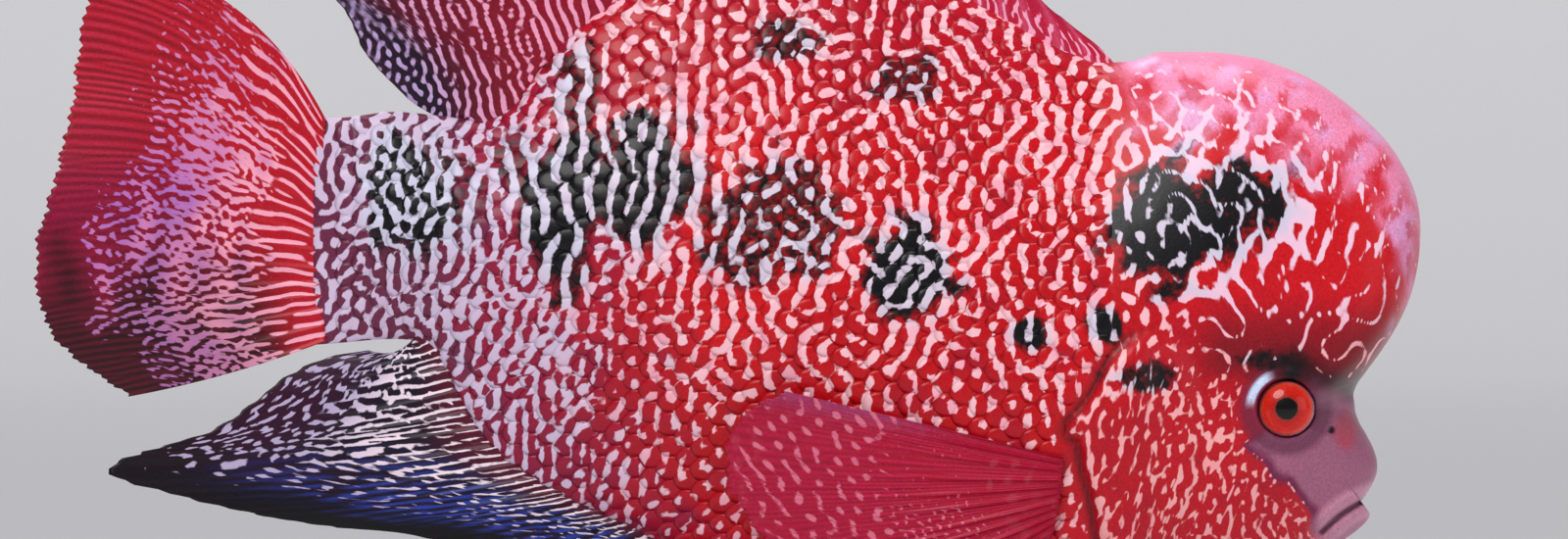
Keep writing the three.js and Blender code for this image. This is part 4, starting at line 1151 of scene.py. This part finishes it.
def sharpen(piece, degrees=35):
    """Edges where faces meet at more than this angle stay sharp."""
    piece.data.set_sharp_from_angle(angle=math.radians(degrees))
    return piece


def build_stand():
    """Walnut base and two steel rods, as large as their nodes."""
    low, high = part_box("stand_base")
    plate = rounded_plate([c / MM for c in low], [c / MM for c in high], 14, 1.6)
    carry(sharpen(plate), wood_material(), "stand_wood", "stand_base")
    steel = steel_material()
    for word in ("front", "rear"):
        rod = sharpen(turned_rod(f"steel_rod_{word}", f"stand_rod_{word}"))
        carry(rod, steel, "stand_steel", f"stand_rod_{word}")


def build_stage():
    """Pale floor, soft lights and the camera."""
    mesh = bpy.data.meshes.new("floor")
    half, bend, start = 24, 5.0, 12.0
    turn = np.linspace(0, math.pi / 2, 33)
    curve = zip(start + bend * np.sin(turn), bend * (1 - np.cos(turn)))
    line = [(-half, 0), *curve, (start + bend, 14)]
    points = [(x, float(y), float(z)) for y, z in line for x in (-half, half)]
    mesh.from_pydata(points, [], grid_faces(len(line), 2)[:, [0, 3, 2, 1]].tolist())
    mesh.shade_smooth()
    floor = bpy.data.objects.new("floor", mesh)
    bpy.context.scene.collection.objects.link(floor)
    mesh.materials.append(floor_material())

    world = bpy.data.worlds.new("studio")
    bpy.context.scene.world = world
    world.use_nodes = True
    world.node_tree.nodes["Background"].inputs["Color"].default_value = colour("#E9E8EC")
    world.node_tree.nodes["Background"].inputs["Strength"].default_value = 0.27

    for kind, name, place, size, power in (
        ("SUN", "key", (-0.7, -1.5, 1.5), 0.5, 1.9), ("AREA", "fill", (1.6, -1.5, 0.6), 1.2, 6),
        ("AREA", "top", (0.15, 0.1, 1.9), 0.8, 14), ("AREA", "back", (-0.5, 1.0, 1.3), 0.7, 8),
    ):
        data = bpy.data.lights.new(name, kind)
        data.energy = power
        if kind == "SUN":
            data.angle = size
        else:
            data.size = size
        light = bpy.data.objects.new(name, data)
        light.location = place
        aim = Vector((0, 0, 0.12)) - Vector(place)
        light.rotation_euler = aim.to_track_quat("-Z", "Y").to_euler()
        bpy.context.scene.collection.objects.link(light)

    camera_data = bpy.data.cameras.new("camera")
    camera_data.lens = 337.5
    camera_data.clip_end = 60
    camera = bpy.data.objects.new("camera", camera_data)
    camera.location = (-0.008, -3.0, 0.121)
    camera.rotation_euler = (math.radians(90), 0, 0)
    bpy.context.scene.collection.objects.link(camera)
    bpy.context.scene.camera = camera
    bpy.context.scene.view_settings.view_transform = "Standard"


build_stage()
skin = build_skin()
carry(skin, SKIN, "scaled_skin", "head", "nuchal_hump", "trunk", "tail_stalk", "upper_lip", "lower_lip",
      "gill_cover_left", "gill_cover_right")
for word, side in (("left", 1), ("right", -1)):
    carry(build_scales(side, f"scales_{word}"), SCALE, "scaled_skin")
eye_finish = eye_material()
for word, side in (("left", 1), ("right", -1)):
    carry(build_eye(side, word), eye_finish, "eye", f"eye_{word}")
build_fins()
build_stand()
